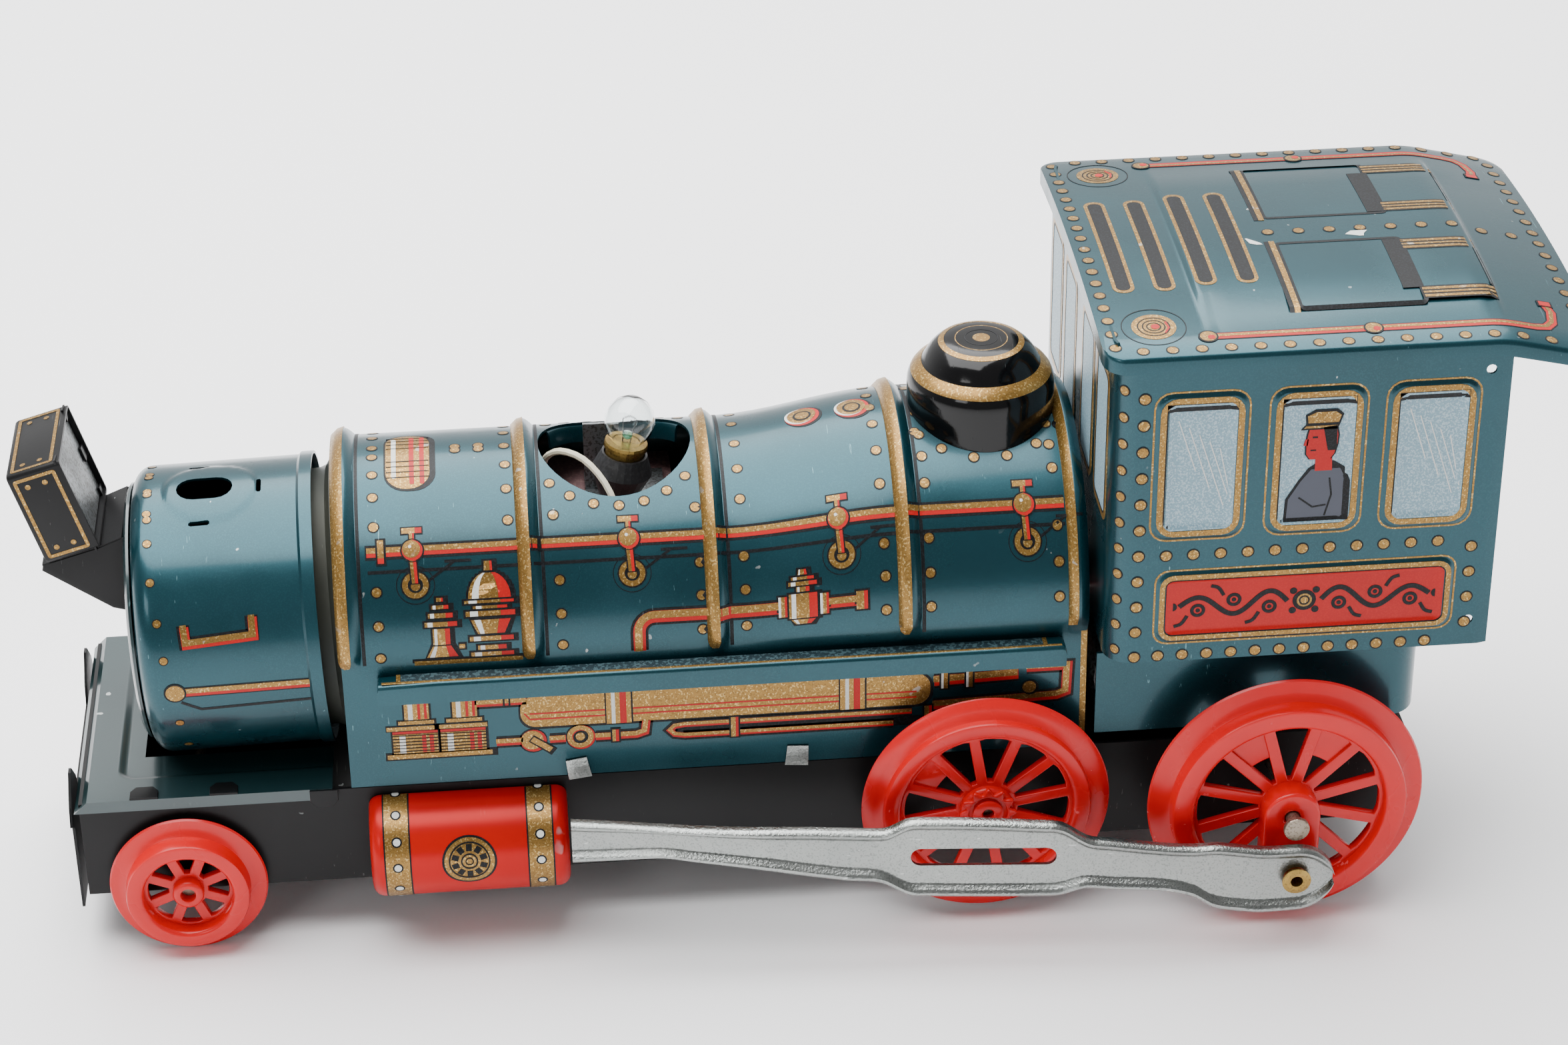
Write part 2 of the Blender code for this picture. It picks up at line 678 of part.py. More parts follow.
def make_wheels():
    for side in SIDES:
        front = wheel(f"front_wheel_{side}", side, FRONT_AXLE, 17.0, 13.3, 9.6, 3.4,
                      (33.2, 34.8, 39.4, 36.4, 38.8), 8, 2.6, 22.5, RED_PLASTIC)
        bore(front, FRONT_AXLE)
        middle = wheel(f"middle_wheel_{side}", side, MIDDLE_AXLE, 27.1, 22.6, 18.8, 5.9,
                       (38.6, 40.6, 43.0, 41.6, 44.0), 12, 2.6, 9.5, RED_PLASTIC)
        bore(middle, MIDDLE_AXLE)
        name = f"rear_wheel_{side}"
        rear = wheel(name, side, REAR_AXLE, 30.2, 25.6, 20.8, 5.6,
                     (44.2, 46.2, 50.6, 48.4, 53.0), 12, 2.8, 15.0, RED_PLASTIC)
        outline = arc(6.2, 0, 180, 8) + arc(6.2, 180, 360, 8, (0.0, -CRANK_R))
        spot = facing_side(SIDES[side], REAR_AXLE[0], 49.5, REAR_AXLE[1])
        join(rear, plate(f"{name}_boss", [outline], 8.0, None, spot, CUTTERS))
        bore(rear, REAR_AXLE)


def make_axles():
    for name, (x, z), half in (
        ("front_axle", FRONT_AXLE, 36.4),
        ("middle_axle", MIDDLE_AXLE, 42.0),
    ):
        rods(name, [((x, -half, z), (x, half, z), AXLE_R)], STEEL, None, 20)
    x, z = REAR_AXLE
    head, end = 56.9, 57.9
    profile = [(0.0, end), (2.7, end), (2.8, end - 0.2), (2.8, head), (AXLE_R, head)]
    profile += [(r, -h) for r, h in reversed(profile)]
    lathe("rear_axle", profile, STEEL, facing_left(x, 0, z), 20)


# Drive ------------------------------------------------------------------------------------


def gear_outline(teeth, phase=0.0):
    """Trapezoid teeth with generous backlash. phase is the angle of a tooth's middle."""
    pitch_r = MODULE * teeth / 2
    tip_r, root_r = pitch_r + 0.6 * MODULE, pitch_r - 0.95 * MODULE
    pitch = 360.0 / teeth
    outline = []
    for i in range(teeth):
        for radius, share in ((root_r, -0.27), (tip_r, -0.11), (tip_r, 0.11), (root_r, 0.27)):
            angle = math.radians(phase + (i + share) * pitch)
            outline.append((radius * math.cos(angle), radius * math.sin(angle)))
    return outline


def mesh_point(origin, distance, degrees):
    """A shaft at this distance and angle from another, both as (x, z)."""
    angle = math.radians(degrees)
    return (origin[0] + distance * math.cos(angle), origin[1] + distance * math.sin(angle))


def meshing_phase(teeth, degrees):
    """Turns a gear so that a gap, not a tooth, faces back along this angle."""
    return degrees + 180.0 + 180.0 / teeth


SLACK = 0.05
IDLER = mesh_point(REAR_AXLE, MODULE * (AXLE_GEAR_TEETH + IDLER_SMALL_TEETH) / 2 + SLACK, IDLER_ANGLE)
MOTOR = mesh_point(IDLER, MODULE * (IDLER_LARGE_TEETH + PINION_TEETH) / 2 + SLACK, MOTOR_ANGLE)
PLATE_Y = (8.0, 20.4)


def make_gears():
    hole = arc(BORE_R, 0, 345, 23)
    x, z = REAR_AXLE
    teeth = gear_outline(AXLE_GEAR_TEETH, IDLER_ANGLE)
    plate("axle_gear", [teeth, hole], 4.0, NYLON, facing_left(x, 12.4, z))
    x, z = IDLER
    small = gear_outline(IDLER_SMALL_TEETH, meshing_phase(IDLER_SMALL_TEETH, IDLER_ANGLE))
    large = gear_outline(IDLER_LARGE_TEETH, MOTOR_ANGLE)
    idler = plate("idler_gear", [large], 3.0, NYLON, facing_left(x, 17.2, z))
    join(idler, plate("idler_small", [small], 6.4, None, facing_left(x, 12.8, z), CUTTERS))
    join(idler, rods("idler_shaft", [((x, 6.6, z), (x, 22.4, z), 1.2)], None, CUTTERS, 16))
    x, z = MOTOR
    teeth = gear_outline(PINION_TEETH, meshing_phase(PINION_TEETH, MOTOR_ANGLE))
    pinion = plate("motor_pinion", [teeth], 4.0, BRASS, facing_left(x, 17.0, z))
    join(pinion, rods("motor_shaft", [((x, 2.0, z), (x, 19.6, z), 1.0)], None, CUTTERS, 16))


def make_gearbox():
    shafts = [(REAR_AXLE, BORE_R), (IDLER, 1.5), (MOTOR, 4.2)]
    outline = [(MOTOR[0] - 12, 20.0), (113.0, 20.0), (114.0, 24.0), (112.0, 38.0)]
    outline += [(96.0, 56.0), (MOTOR[0] + 4, 62.0), (MOTOR[0] - 12, 60.0)]
    for name, y in zip(("gearbox_plate_inner", "gearbox_plate_outer"), PLATE_Y):
        bores = [arc(radius, 0, 345, 23, centre) for centre, radius in shafts]
        plate(name, [outline, *bores], 0.8, STEEL, facing_left(0, y, 0))
    x, z = MOTOR
    can = [(0.0, 28.0), (11.0, 28.0), (12.0, 27.0), (12.0, 0.6), (11.6, 0.0)]
    can += [(4.0, 0.0), (4.0, -1.0), (1.4, -1.0), (1.4, 8.0), (0.0, 8.0)]
    lathe("motor_can", can, STEEL, facing_left(x, 7.2, z), 24)


# Battery box, switch and lamp ---------------------------------------------------------------


def make_battery_box():
    for name, x in zip(("battery_cell_front", "battery_cell_rear"), CELL_X):
        low = CELL_BASE_Z
        shape = [(0.0, low + CELL_TALL), (4.6, low + CELL_TALL), (4.8, low + CELL_TALL - 1.6)]
        shape += [(15.2, low + CELL_TALL - 1.8), (CELL_R, low + CELL_TALL - 3), (CELL_R, low + 0.8)]
        shape += [(15.6, low), (0.0, low)]
        lathe(name, shape, CELL, Matrix.Translation((x, 0, 0)), 24)
    top = CELL_BASE_Z + CELL_TALL
    board_low, board_high = 83.4, 85.0
    boxes("battery_board", [((-82.0, -24.5, board_low), (-24.0, 24.5, board_high))], FIBRE)
    for name, x in zip(("contact_leaf_front", "contact_leaf_rear"), CELL_X):
        reach = 1 if x == CELL_X[0] else -1
        route = [(x + reach * 13.0, board_low - GAP), (x + reach * 6.0, board_low - GAP)]
        route += [(x, top + 0.8), (x - reach * 4.0, top + 2.2)]
        ordered = sorted(route)
        loft(name, [[(px, -3.5, pz), (px, 3.5, pz)] for px, pz in ordered], 0.4, BRASS)
    boxes("contact_strip", [((CELL_X[0] - 8, -5.0, 15.4), (CELL_X[1] + 8, 5.0, 15.9))], BRASS)
    box = boxes("battery_door", [((DOOR_X[0], -22.3, 13.3), (DOOR_X[1], 22.3, 14.0))], BLACK)
    grip = boxes("door_grip", [((-4.0, -10.0, 12.4), (-2.0, 10.0, 13.6))], None, CUTTERS)
    join(box, grip)
    inner_y = 18.6
    walls = []
    for x in (CELL_X[0] - 17.6, CELL_X[1] + 16.8):
        walls.append(((x, -inner_y, 16.4), (x + 0.8, inner_y, 82.8)))
    for name, wall in zip(("battery_wall_front", "battery_wall_rear"), walls):
        boxes(name, [wall], FIBRE)


def make_switch():
    rear = CHASSIS_X[1]
    lever = boxes("switch_lever", [((rear - 4.0, -2.4, 28.0), (rear + 6.0, 2.4, 30.0))], STEEL)
    join(lever, boxes("switch_slider", [((rear - 4.4, -6.0, 24.5), (rear - 3.2, 6.0, 33.5))], None, CUTTERS))


def lamp_place():
    lean = turned(0, 0, 0, "Y", 10.0)
    return Matrix.Translation((-34.8, 0, 98.0)) @ lean


def make_lamp():
    place = lamp_place()
    bracket = boxes("lamp_bracket", [((-43.2, -3.0, 85.4), (-26.0, 15.0, 86.2))], STEEL)
    join(bracket, boxes("lamp_upright", [((-43.2, 7.4, 85.6), (-35.6, 8.2, 102.4))], None, CUTTERS))
    socket = [(5.0, 1.2), (6.6, -3.0), (4.0, -9.6), (3.3, -9.6), (4.6, -3.0), (4.5, 1.2)]
    lathe("lamp_socket", socket, BLACK, place, 24, True)
    base = [(0.0, 4.0), (4.6, 4.0), (4.75, 3.4), (4.75, 2.6), (4.2, 2.4), (4.2, -2.6), (1.5, -5.0), (0.0, -5.0)]
    lathe("lamp_base", base, BRASS, place, 20)
    globe_r, centre = 5.5, 9.2
    bulb = [(globe_r * math.sin(math.radians(a)), centre + globe_r * math.cos(math.radians(a)))
            for a in range(0, 136, 27)]
    bulb[0] = (0.0, centre + globe_r)
    bulb += [(3.7, 4.3), (0.0, 4.3)]
    lathe("lamp_globe", bulb, GLASS, place, 20)
    white = [(-52.5, 3.0, 93.0), (-51.6, 0.4, 98.6), (-48.4, -2.6, 101.8), (-43.6, -6.4, 101.6)]
    white += [(-39.4, -10.6, 98.0), (-36.9, -14.4, 92.6), (-36.4, -15.6, 87.6)]
    tube("lamp_wire_white", smooth_route(white, 3), 0.75, IVORY)
    red = [(-38.6, -9.6, 86.6), (-34.0, -10.6, 87.2), (-29.4, -9.8, 88.6), (-24.6, -8.6, 89.6), (-19.0, -8.0, 88.6)]
    tube("lamp_wire_red", smooth_route(red, 3), 0.7, RED_WIRE)


def main():
    make_chassis()
    make_deck()
    make_pilot()
    make_smokebox()
    make_headlamp()
    make_boiler()
    make_running_boards()
    make_dome()
    make_cab()
    make_roof()
    make_cab_base()
    make_cylinders()
    make_rods()
    make_eyelets()
    make_wheels()
    make_axles()
    make_gears()
    make_gearbox()
    make_battery_box()
    make_switch()
    make_lamp()


main()
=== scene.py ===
"""Looks for the tin-plate toy locomotive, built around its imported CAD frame.

Lengths are in millimetres. Front is -X, and the left side, nearest the camera, is -Y.
"""

import math

import bmesh
import bpy
from mathutils import Matrix, Vector


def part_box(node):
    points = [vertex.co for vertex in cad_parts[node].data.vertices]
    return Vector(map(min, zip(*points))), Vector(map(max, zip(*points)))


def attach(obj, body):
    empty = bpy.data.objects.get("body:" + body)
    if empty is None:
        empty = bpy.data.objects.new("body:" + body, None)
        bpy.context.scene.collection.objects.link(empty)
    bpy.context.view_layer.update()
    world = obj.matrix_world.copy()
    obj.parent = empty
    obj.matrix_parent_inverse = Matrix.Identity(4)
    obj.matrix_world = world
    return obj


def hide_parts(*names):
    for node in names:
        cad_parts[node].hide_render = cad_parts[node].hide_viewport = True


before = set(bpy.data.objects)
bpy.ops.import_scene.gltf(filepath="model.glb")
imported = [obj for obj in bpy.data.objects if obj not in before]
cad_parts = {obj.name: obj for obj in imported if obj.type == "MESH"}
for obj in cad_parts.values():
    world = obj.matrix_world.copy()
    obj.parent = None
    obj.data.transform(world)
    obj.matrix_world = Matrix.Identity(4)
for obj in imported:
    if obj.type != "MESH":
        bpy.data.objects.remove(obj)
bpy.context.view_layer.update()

MM = 0.001
TIN = 0.6  # sheet thickness
SIDES = {"left": -1, "right": 1}


def span(node):
    low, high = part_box(node)
    return [c / MM for c in low], [c / MM for c in high]


# Driving dimensions, from the frame -------------------------------------------------------

BOILER_LOW, BOILER_HIGH = span("boiler_shell")
BOILER_HALF = 33.1
BOILER_R = 32.7
FIREBOX_RISE = 2.4
BOILER_Z = BOILER_HIGH[2] - BOILER_R - 2 * FIREBOX_RISE
TAPER_X = (-15.0, 23.0)
TOP = BOILER_R * math.pi / 2  # arc length from the side of the boiler to its crown
BEADS = ((-97.6, -92.6), (-58.8, -54.0), (-19.6, -14.9), (20.9, 25.8), (57.2, 61.6))
BEAD_TALL = 1.6
LAMP_HOLE = (-36.8, 16.4)

DRUM_LOW, DRUM_HIGH = span("smokebox_drum")
DRUM_R = 31.2
DRUM_Z = 66.8
DRUM_X = (-139.7, -101.0)
DRUM_PITCH = math.radians(1.5)
DRUM_TWIST = math.radians(6.3)
STACK_X = -124.4

CAB_LOW, CAB_HIGH = span("cab_body")
CAB_X = (CAB_LOW[0], CAB_HIGH[0] - 3.5)
CAB_HALF = 45.5
CAB_CORNER = 6.0
ROOF_LOW, ROOF_HIGH = span("cab_roof")
ROOF_HALF = ROOF_HIGH[1]
ROOF_EDGE_Z = 141.0
ROOF_CROWN = 2.7
ROOF_BEND_X = 143.3
ROOF_DROOP = math.tan(math.radians(13.0))
HATCH = (82.6, 145.8, 33.6)
HATCH_TALL = 0.9

FRONT_AXLE = (-133.6, 17.0)
MIDDLE_AXLE = (39.5, 29.4)
REAR_AXLE = (104.2, 30.2)
CRANK_R = 11.4
PIN_Z = REAR_AXLE[1] - CRANK_R
ROD_FACE_Y = 60.2
CYLINDER_X = (-93.7, -51.0)
CYLINDER_Y, CYLINDER_Z, CYLINDER_R = 33.0, 24.3, 11.8
DOME_X, DOME_R = 42.4, 15.9
DOME_TOP = span("steam_dome")[1][2]
LAMP = Matrix.Translation((-34.8, 0, 98.0)) @ Matrix.Rotation(math.radians(10), 4, "Y")


# Materials --------------------------------------------------------------------------------


def srgb(red, green, blue):
    return [*(((c / 255 + 0.055) / 1.055) ** 2.4 for c in (red, green, blue)), 1.0]


class Finish:
    """A procedural material: clouded colour, grain, chips or scratches, uneven gloss, fine bump."""

    def __init__(self, name, colour, metallic=0.0, rough=0.4, coat=0.0):
        self.material = bpy.data.materials.new(name)
        self.material.use_nodes = True
        self.tree = self.material.node_tree
        self.shader = self.tree.nodes["Principled BSDF"]
        self.where = self.tree.nodes.new("ShaderNodeTexCoord").outputs["Object"]
        self.colour = self.tree.nodes.new("ShaderNodeRGB").outputs[0]
        self.colour.default_value = colour
        self.metal = self.value(metallic)
        self.rough = self.value(rough)
        self.set("Coat Weight", coat)
        self.set("Coat Roughness", 0.12)

    def set(self, socket, value):
        self.shader.inputs[socket].default_value = value
        return self

    def value(self, number):
        node = self.tree.nodes.new("ShaderNodeValue")
        node.outputs[0].default_value = number
        return node.outputs[0]

    def link(self, source, target):
        self.tree.links.new(source, target)

    def noise(self, scale, detail=3.0, stretch=(1, 1, 1)):
        place = self.tree.nodes.new("ShaderNodeMapping")
        place.inputs["Scale"].default_value = stretch
        self.link(self.where, place.inputs["Vector"])
        node = self.tree.nodes.new("ShaderNodeTexNoise")
        node.inputs["Scale"].default_value = scale
        node.inputs["Detail"].default_value = detail
        self.link(place.outputs[0], node.inputs["Vector"])
        return node.outputs["Fac"]

    def band(self, source, low, high):
        """0 below low, 1 above high."""
        node = self.tree.nodes.new("ShaderNodeMapRange")
        node.interpolation_type = "SMOOTHSTEP"
        node.inputs["From Min"].default_value = low
        node.inputs["From Max"].default_value = high
        self.link(source, node.inputs["Value"])
        return node.outputs[0]

    def maths(self, kind, first, second):
        node = self.tree.nodes.new("ShaderNodeMath")
        node.operation = kind
        self.link(first, node.inputs[0])
        if isinstance(second, (int, float)):
            node.inputs[1].default_value = second
        else:
            self.link(second, node.inputs[1])
        return node.outputs[0]

    def blend(self, share, colour, amount=1.0):
        node = self.tree.nodes.new("ShaderNodeMix")
        node.data_type = "RGBA"
        self.link(self.maths("MULTIPLY", share, amount), node.inputs[0])
        self.link(self.colour, node.inputs[6])
        node.inputs[7].default_value = colour
        self.colour = node.outputs[2]
        return self

    def shift(self, attribute, share, number):
        """Moves metallic or roughness towards a number by a share."""
        node = self.tree.nodes.new("ShaderNodeMix")
        self.link(share, node.inputs[0])
        self.link(getattr(self, attribute), node.inputs[2])
        node.inputs[3].default_value = number
        setattr(self, attribute, node.outputs[0])
        return self

    def clouds(self, colour, scale=28.0, amount=0.6):
        return self.blend(self.band(self.noise(scale), 0.35, 0.7), colour, amount)

    def grain(self, colour, scale=2600.0, low=0.5, high=0.62, amount=0.5):
        return self.blend(self.band(self.noise(scale, 1.0), low, high), colour, amount)

    def chips(self, colour, amount=0.8, metallic=0.9, scale=300.0, low=0.70, high=0.73):
        """Small worn spots where the tin shows."""
        spots = self.maths("MULTIPLY", self.band(self.noise(scale, 2.0), low, high),
                           self.band(self.noise(36.0, 1.0), 0.46, 0.6))
        self.blend(spots, colour, amount)
        return self.shift("metal", spots, metallic).shift("rough", spots, 0.45)

    def scratches(self, colour, stretch=(30, 1.2, 6), amount=0.6):
        """Short fine lines, kept to a few areas."""
        lines = self.maths("MULTIPLY", self.band(self.noise(60.0, 2.0, stretch), 0.715, 0.74),
                           self.band(self.noise(22.0, 1.0), 0.52, 0.62))
        return self.blend(lines, colour, amount).shift("rough", lines, 0.5)

    def smudges(self, number, scale=45.0):
        return self.shift("rough", self.band(self.noise(scale, 4.0), 0.42, 0.75), number)

    def done(self, bump=0.0, scale=1400.0):
        self.link(self.colour, self.shader.inputs["Base Color"])
        self.link(self.metal, self.shader.inputs["Metallic"])
        self.link(self.rough, self.shader.inputs["Roughness"])
        if bump:
            node = self.tree.nodes.new("ShaderNodeBump")
            node.inputs["Strength"].default_value = bump
            node.inputs["Distance"].default_value = 0.0002
            self.link(self.noise(scale, 3.0), node.inputs["Height"])
            self.link(node.outputs[0], self.shader.inputs["Normal"])
        return self.material


TIN_BARE = srgb(188, 192, 190)


def make_finishes():
    teal = Finish("teal_litho", srgb(16, 61, 70), 0.65, 0.27, 0.25)
    teal.clouds(srgb(12, 54, 62)).grain(srgb(32, 78, 86), 3200, amount=0.25)
    teal.chips(TIN_BARE, 0.7, low=0.745, high=0.765).scratches(srgb(110, 155, 162)).smudges(0.38)
    dark = Finish("dark_teal_litho", srgb(22, 46, 48), 0.3, 0.36, 0.8)
    dark.clouds(srgb(10, 36, 40)).chips(TIN_BARE, 0.7, low=0.745, high=0.765).scratches(srgb(90, 120, 120)).smudges(0.45)
    black = Finish("black_litho", srgb(13, 13, 14), 0.0, 0.40).set("Specular IOR Level", 0.2)
    black.clouds(srgb(22, 22, 23)).chips(TIN_BARE, 0.5, low=0.75, high=0.77)
    black.scratches(srgb(80, 80, 80)).smudges(0.42)
    neck = Finish("neck_paint", srgb(44, 48, 44), 0.3, 0.42, 0.1)
    neck.clouds(srgb(62, 62, 52), 40).scratches(srgb(100, 100, 92)).smudges(0.6)
    gloss = Finish("black_enamel", srgb(6, 6, 7), 0.0, 0.10).set("Specular IOR Level", 0.28)
    gloss.clouds(srgb(14, 14, 15)).scratches(srgb(70, 70, 70), amount=0.3).smudges(0.2)
    gold = Finish("gold_print", srgb(142, 108, 52), 0.65, 0.34)
    gold.clouds(srgb(128, 95, 44)).grain(srgb(98, 70, 30), 3000, 0.52, 0.6, 0.55)
    gold.grain(srgb(208, 178, 116), 2100, 0.58, 0.66, 0.6).chips(TIN_BARE, 0.5)
    ink = Finish("black_print", srgb(6, 7, 9), 0.0, 0.45).set("Specular IOR Level", 0.2)
    ink.grain(srgb(30, 34, 40), 2400).scratches(srgb(90, 100, 104))
    red = Finish("red_print", srgb(172, 16, 14), 0.05, 0.42).set("Specular IOR Level", 0.25)
    red.clouds(srgb(156, 12, 12)).grain(srgb(188, 38, 28), 2800, amount=0.3)
    white = Finish("white_print", srgb(206, 207, 202), 0.0, 0.42)
    white.grain(srgb(176, 182, 184), 2400, amount=0.4)
    pane = Finish("pane_print", srgb(120, 152, 166), 0.0, 0.42)
    pane.grain(srgb(172, 192, 200), 2300, 0.50, 0.58, 0.7).grain(srgb(96, 128, 146), 3100, 0.55, 0.62, 0.5)
    tin_red = Finish("red_litho", srgb(182, 10, 10), 0.15, 0.28).set("Specular IOR Level", 0.15)
    tin_red.clouds(srgb(162, 12, 13)).chips(TIN_BARE, 0.9, scale=160, low=0.68).scratches(srgb(226, 120, 110))
    plastic = Finish("red_plastic", srgb(206, 8, 16), 0.0, 0.24).set("Specular IOR Level", 0.35)
    plastic.clouds(srgb(192, 6, 12), 40).scratches(srgb(236, 110, 110), (8, 8, 8), 0.5).smudges(0.36)
    plastic.set("Subsurface Weight", 0.05).set("Subsurface Radius", (0.004, 0.0008, 0.0006))
    steel = Finish("bare_steel", srgb(150, 153, 150), 1.0, 0.26)
    steel.clouds(srgb(140, 144, 142), 60).grain(srgb(100, 105, 104), 2400, 0.55, 0.64, 0.45)
    steel.scratches(srgb(214, 216, 214), (4, 20, 20)).smudges(0.38)
    dull = Finish("dull_steel", srgb(128, 132, 134), 0.9, 0.42)
    dull.clouds(srgb(96, 98, 98), 90).grain(srgb(66, 62, 58), 1500, 0.5, 0.62, 0.7).smudges(0.6)
    axle = Finish("axle_steel", srgb(150, 140, 126), 0.9, 0.40)
    axle.clouds(srgb(108, 92, 74), 160).grain(srgb(80, 62, 46), 1800, 0.52, 0.62, 0.5)
    brass = Finish("brass", srgb(170, 140, 76), 0.9, 0.34)
    brass.clouds(srgb(128, 100, 52), 120).grain(srgb(90, 68, 36), 2000, 0.55, 0.66, 0.5)
    fibre = Finish("fibre", srgb(112, 84, 84), 0.0, 0.62)
    fibre.clouds(srgb(88, 64, 66), 60).grain(srgb(136, 108, 104), 1200, amount=0.5)
    ivory = Finish("ivory_wire", srgb(214, 208, 186), 0.0, 0.42, 0.1)
    ivory.clouds(srgb(186, 178, 150), 120).smudges(0.55)
    wire = Finish("red_wire", srgb(150, 36, 34), 0.0, 0.40, 0.1)
    wire.clouds(srgb(116, 26, 26), 120).smudges(0.5)
    nylon = Finish("nylon", srgb(214, 208, 192), 0.0, 0.40)
    nylon.clouds(srgb(194, 186, 166), 80).smudges(0.5)
    nylon.set("Subsurface Weight", 0.2).set("Subsurface Radius", (0.003, 0.002, 0.001))
    jacket = Finish("cell_jacket", srgb(38, 44, 60), 0.2, 0.34, 0.3)
    jacket.clouds(srgb(28, 32, 46), 50).scratches(srgb(110, 116, 126)).smudges(0.45)
    inside = Finish("tin_inside", srgb(92, 96, 96), 0.8, 0.42)
    inside.clouds(srgb(70, 74, 76), 60).scratches(srgb(140, 142, 142)).smudges(0.55)
    glass = Finish("glass", srgb(246, 250, 250), 0.0, 0.02)
    glass.clouds(srgb(236, 242, 242), 200).smudges(0.05, 300)
    glass.set("Transmission Weight", 1.0).set("IOR", 1.45)
    bead = Finish("green_glass", srgb(120, 190, 150), 0.0, 0.08)
    bead.clouds(srgb(90, 160, 120), 400).set("Transmission Weight", 0.6)
    rubber = Finish("black_sleeve", srgb(22, 22, 24), 0.0, 0.55)
    rubber.clouds(srgb(36, 36, 38), 90).grain(srgb(52, 52, 54), 1500, amount=0.4)
    tread = Finish("tread_print", srgb(22, 40, 46), 0.1, 0.45, 0.1)
    tread.grain(srgb(70, 96, 102), 1500, 0.5, 0.58, 0.6)
    floor = Finish("floor", srgb(252, 252, 253), 0.0, 0.85)
    floor.clouds(srgb(249, 249, 250), 3)
    bumps = {"steel": (0.5, 1800), "dull": (0.6, 700), "fibre": (0.7, 900), "tread": (0.6, 1500)}
    made = dict(teal=teal, dark=dark, black=black, gloss=gloss, gold=gold, ink=ink, red=red,
                white=white, pane=pane, tin_red=tin_red, plastic=plastic, steel=steel, dull=dull,
                axle=axle, brass=brass, fibre=fibre, ivory=ivory, wire=wire, nylon=nylon,
                jacket=jacket, inside=inside, glass=glass, bead=bead, rubber=rubber, tread=tread,
                floor=floor, neck=neck)
    return {key: finish.done(*bumps.get(key, (0.06, 900))) for key, finish in made.items()}


FINISH = make_finishes()


# Mesh helpers -----------------------------------------------------------------------------


def soften(obj, angle=38):
    for polygon in obj.data.polygons:
        polygon.use_smooth = True
    obj.data.set_sharp_from_angle(angle=math.radians(angle))


def outward(mesh):
    bm = bmesh.new()
    bm.from_mesh(mesh)
    bmesh.ops.remove_doubles(bm, verts=bm.verts, dist=1e-6)
    bmesh.ops.recalc_face_normals(bm, faces=bm.faces)
    bm.to_mesh(mesh)
    bm.free()


def solid(name, verts, faces, finish, body="frame", angle=38, closed=True):
    """A piece from points in millimetres."""
    mesh = bpy.data.meshes.new(name)
    mesh.from_pydata([tuple(c * MM for c in v) for v in verts], [], faces)
    if closed:
        outward(mesh)
    mesh.materials.append(FINISH[finish])
    obj = bpy.data.objects.new(name, mesh)
    bpy.context.scene.collection.objects.link(obj)
    soften(obj, angle)
    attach(obj, body)
    return obj


def bake(obj, angle=38):
    """Applies the modifiers and smooths the result."""
    graph = bpy.context.evaluated_depsgraph_get()
    mesh = bpy.data.meshes.new_from_object(obj.evaluated_get(graph))
    obj.modifiers.clear()
    obj.data = mesh
    soften(obj, angle)
    return obj


def grid_faces(rows, cols, wrap=False):
    """Faces of a grid whose normals follow row step x column step."""
    faces = []
    for i in range(rows - 1):
        for j in range(cols if wrap else cols - 1):
            k = (j + 1) % cols
            faces.append((i * cols + j, (i + 1) * cols + j, (i + 1) * cols + k, i * cols + k))
    return faces


def sheet(name, rows, finish, body="frame", thick=TIN, angle=38):
    """A sheet-metal skin through rows of points; its thickness goes in behind the normals."""
    flat = [p for row in rows for p in row]
    obj = solid(name, flat, grid_faces(len(rows), len(rows[0])), finish, body, closed=False)
    wall = obj.modifiers.new("wall", "SOLIDIFY")
    wall.thickness = thick * MM
    wall.offset = -1
    wall.use_even_offset = False
    return bake(obj, angle)


def tube_of(name, rows, finish, body="frame", angle=38, ends=True):
    """A closed body lofted through rings of points."""
    count = len(rows[0])
    faces = grid_faces(len(rows), count, True)
    if ends:
        faces.append(tuple(range(count)))
        faces.append(tuple(range((len(rows) - 1) * count, len(rows) * count)))
    return solid(name, [p for row in rows for p in row], faces, finish, body, angle)


def ring_points(place, radius, height, steps):
    turn = 2 * math.pi / steps
    return [place @ Vector((radius * math.cos(i * turn), radius * math.sin(i * turn), height))
            for i in range(steps)]


def lathe(name, profile, finish, place, body="frame", steps=64, closed=False, angle=32):
    """A turned piece: profile of (radius, height) about the place's Z. Ends on the axis are points."""
    rows = [ring_points(place, max(r, 0.001), z, steps) for r, z in profile]
    faces = grid_faces(len(rows), steps, True)
    if closed:
        last = (len(rows) - 1) * steps
        faces += [(last + j, j, (j + 1) % steps, last + (j + 1) % steps) for j in range(steps)]
    return solid(name, [p for row in rows for p in row], faces, finish, body, angle)


def facing(x, y, z, axis):
    """A frame at a point whose Z looks along the axis, with its Y up where it can be."""
    turns = {
        "front": ((0, 0, -1), (-1, 0, 0), (0, 1, 0)),
        "left": ((1, 0, 0), (0, 0, -1), (0, 1, 0)),
        "right": ((-1, 0, 0), (0, 0, 1), (0, 1, 0)),
    }
    return Matrix.Translation((x, y, z)) @ Matrix(turns[axis]).to_4x4()


def facing_side(sign, x, y, z):
    return facing(x, sign * y, z, "left" if sign < 0 else "right")


def arc(radius, start, end, steps, centre=(0.0, 0.0)):
    points = []
    for i in range(steps + 1):
        angle = math.radians(start + (end - start) * i / steps)
        points.append((centre[0] + radius * math.cos(angle), centre[1] + radius * math.sin(angle)))
    return points


def stadium(long, wide, steps=8):
    reach = (long - wide) / 2
    return arc(wide / 2, -90, 90, steps, (reach, 0)) + arc(wide / 2, 90, 270, steps, (-reach, 0))


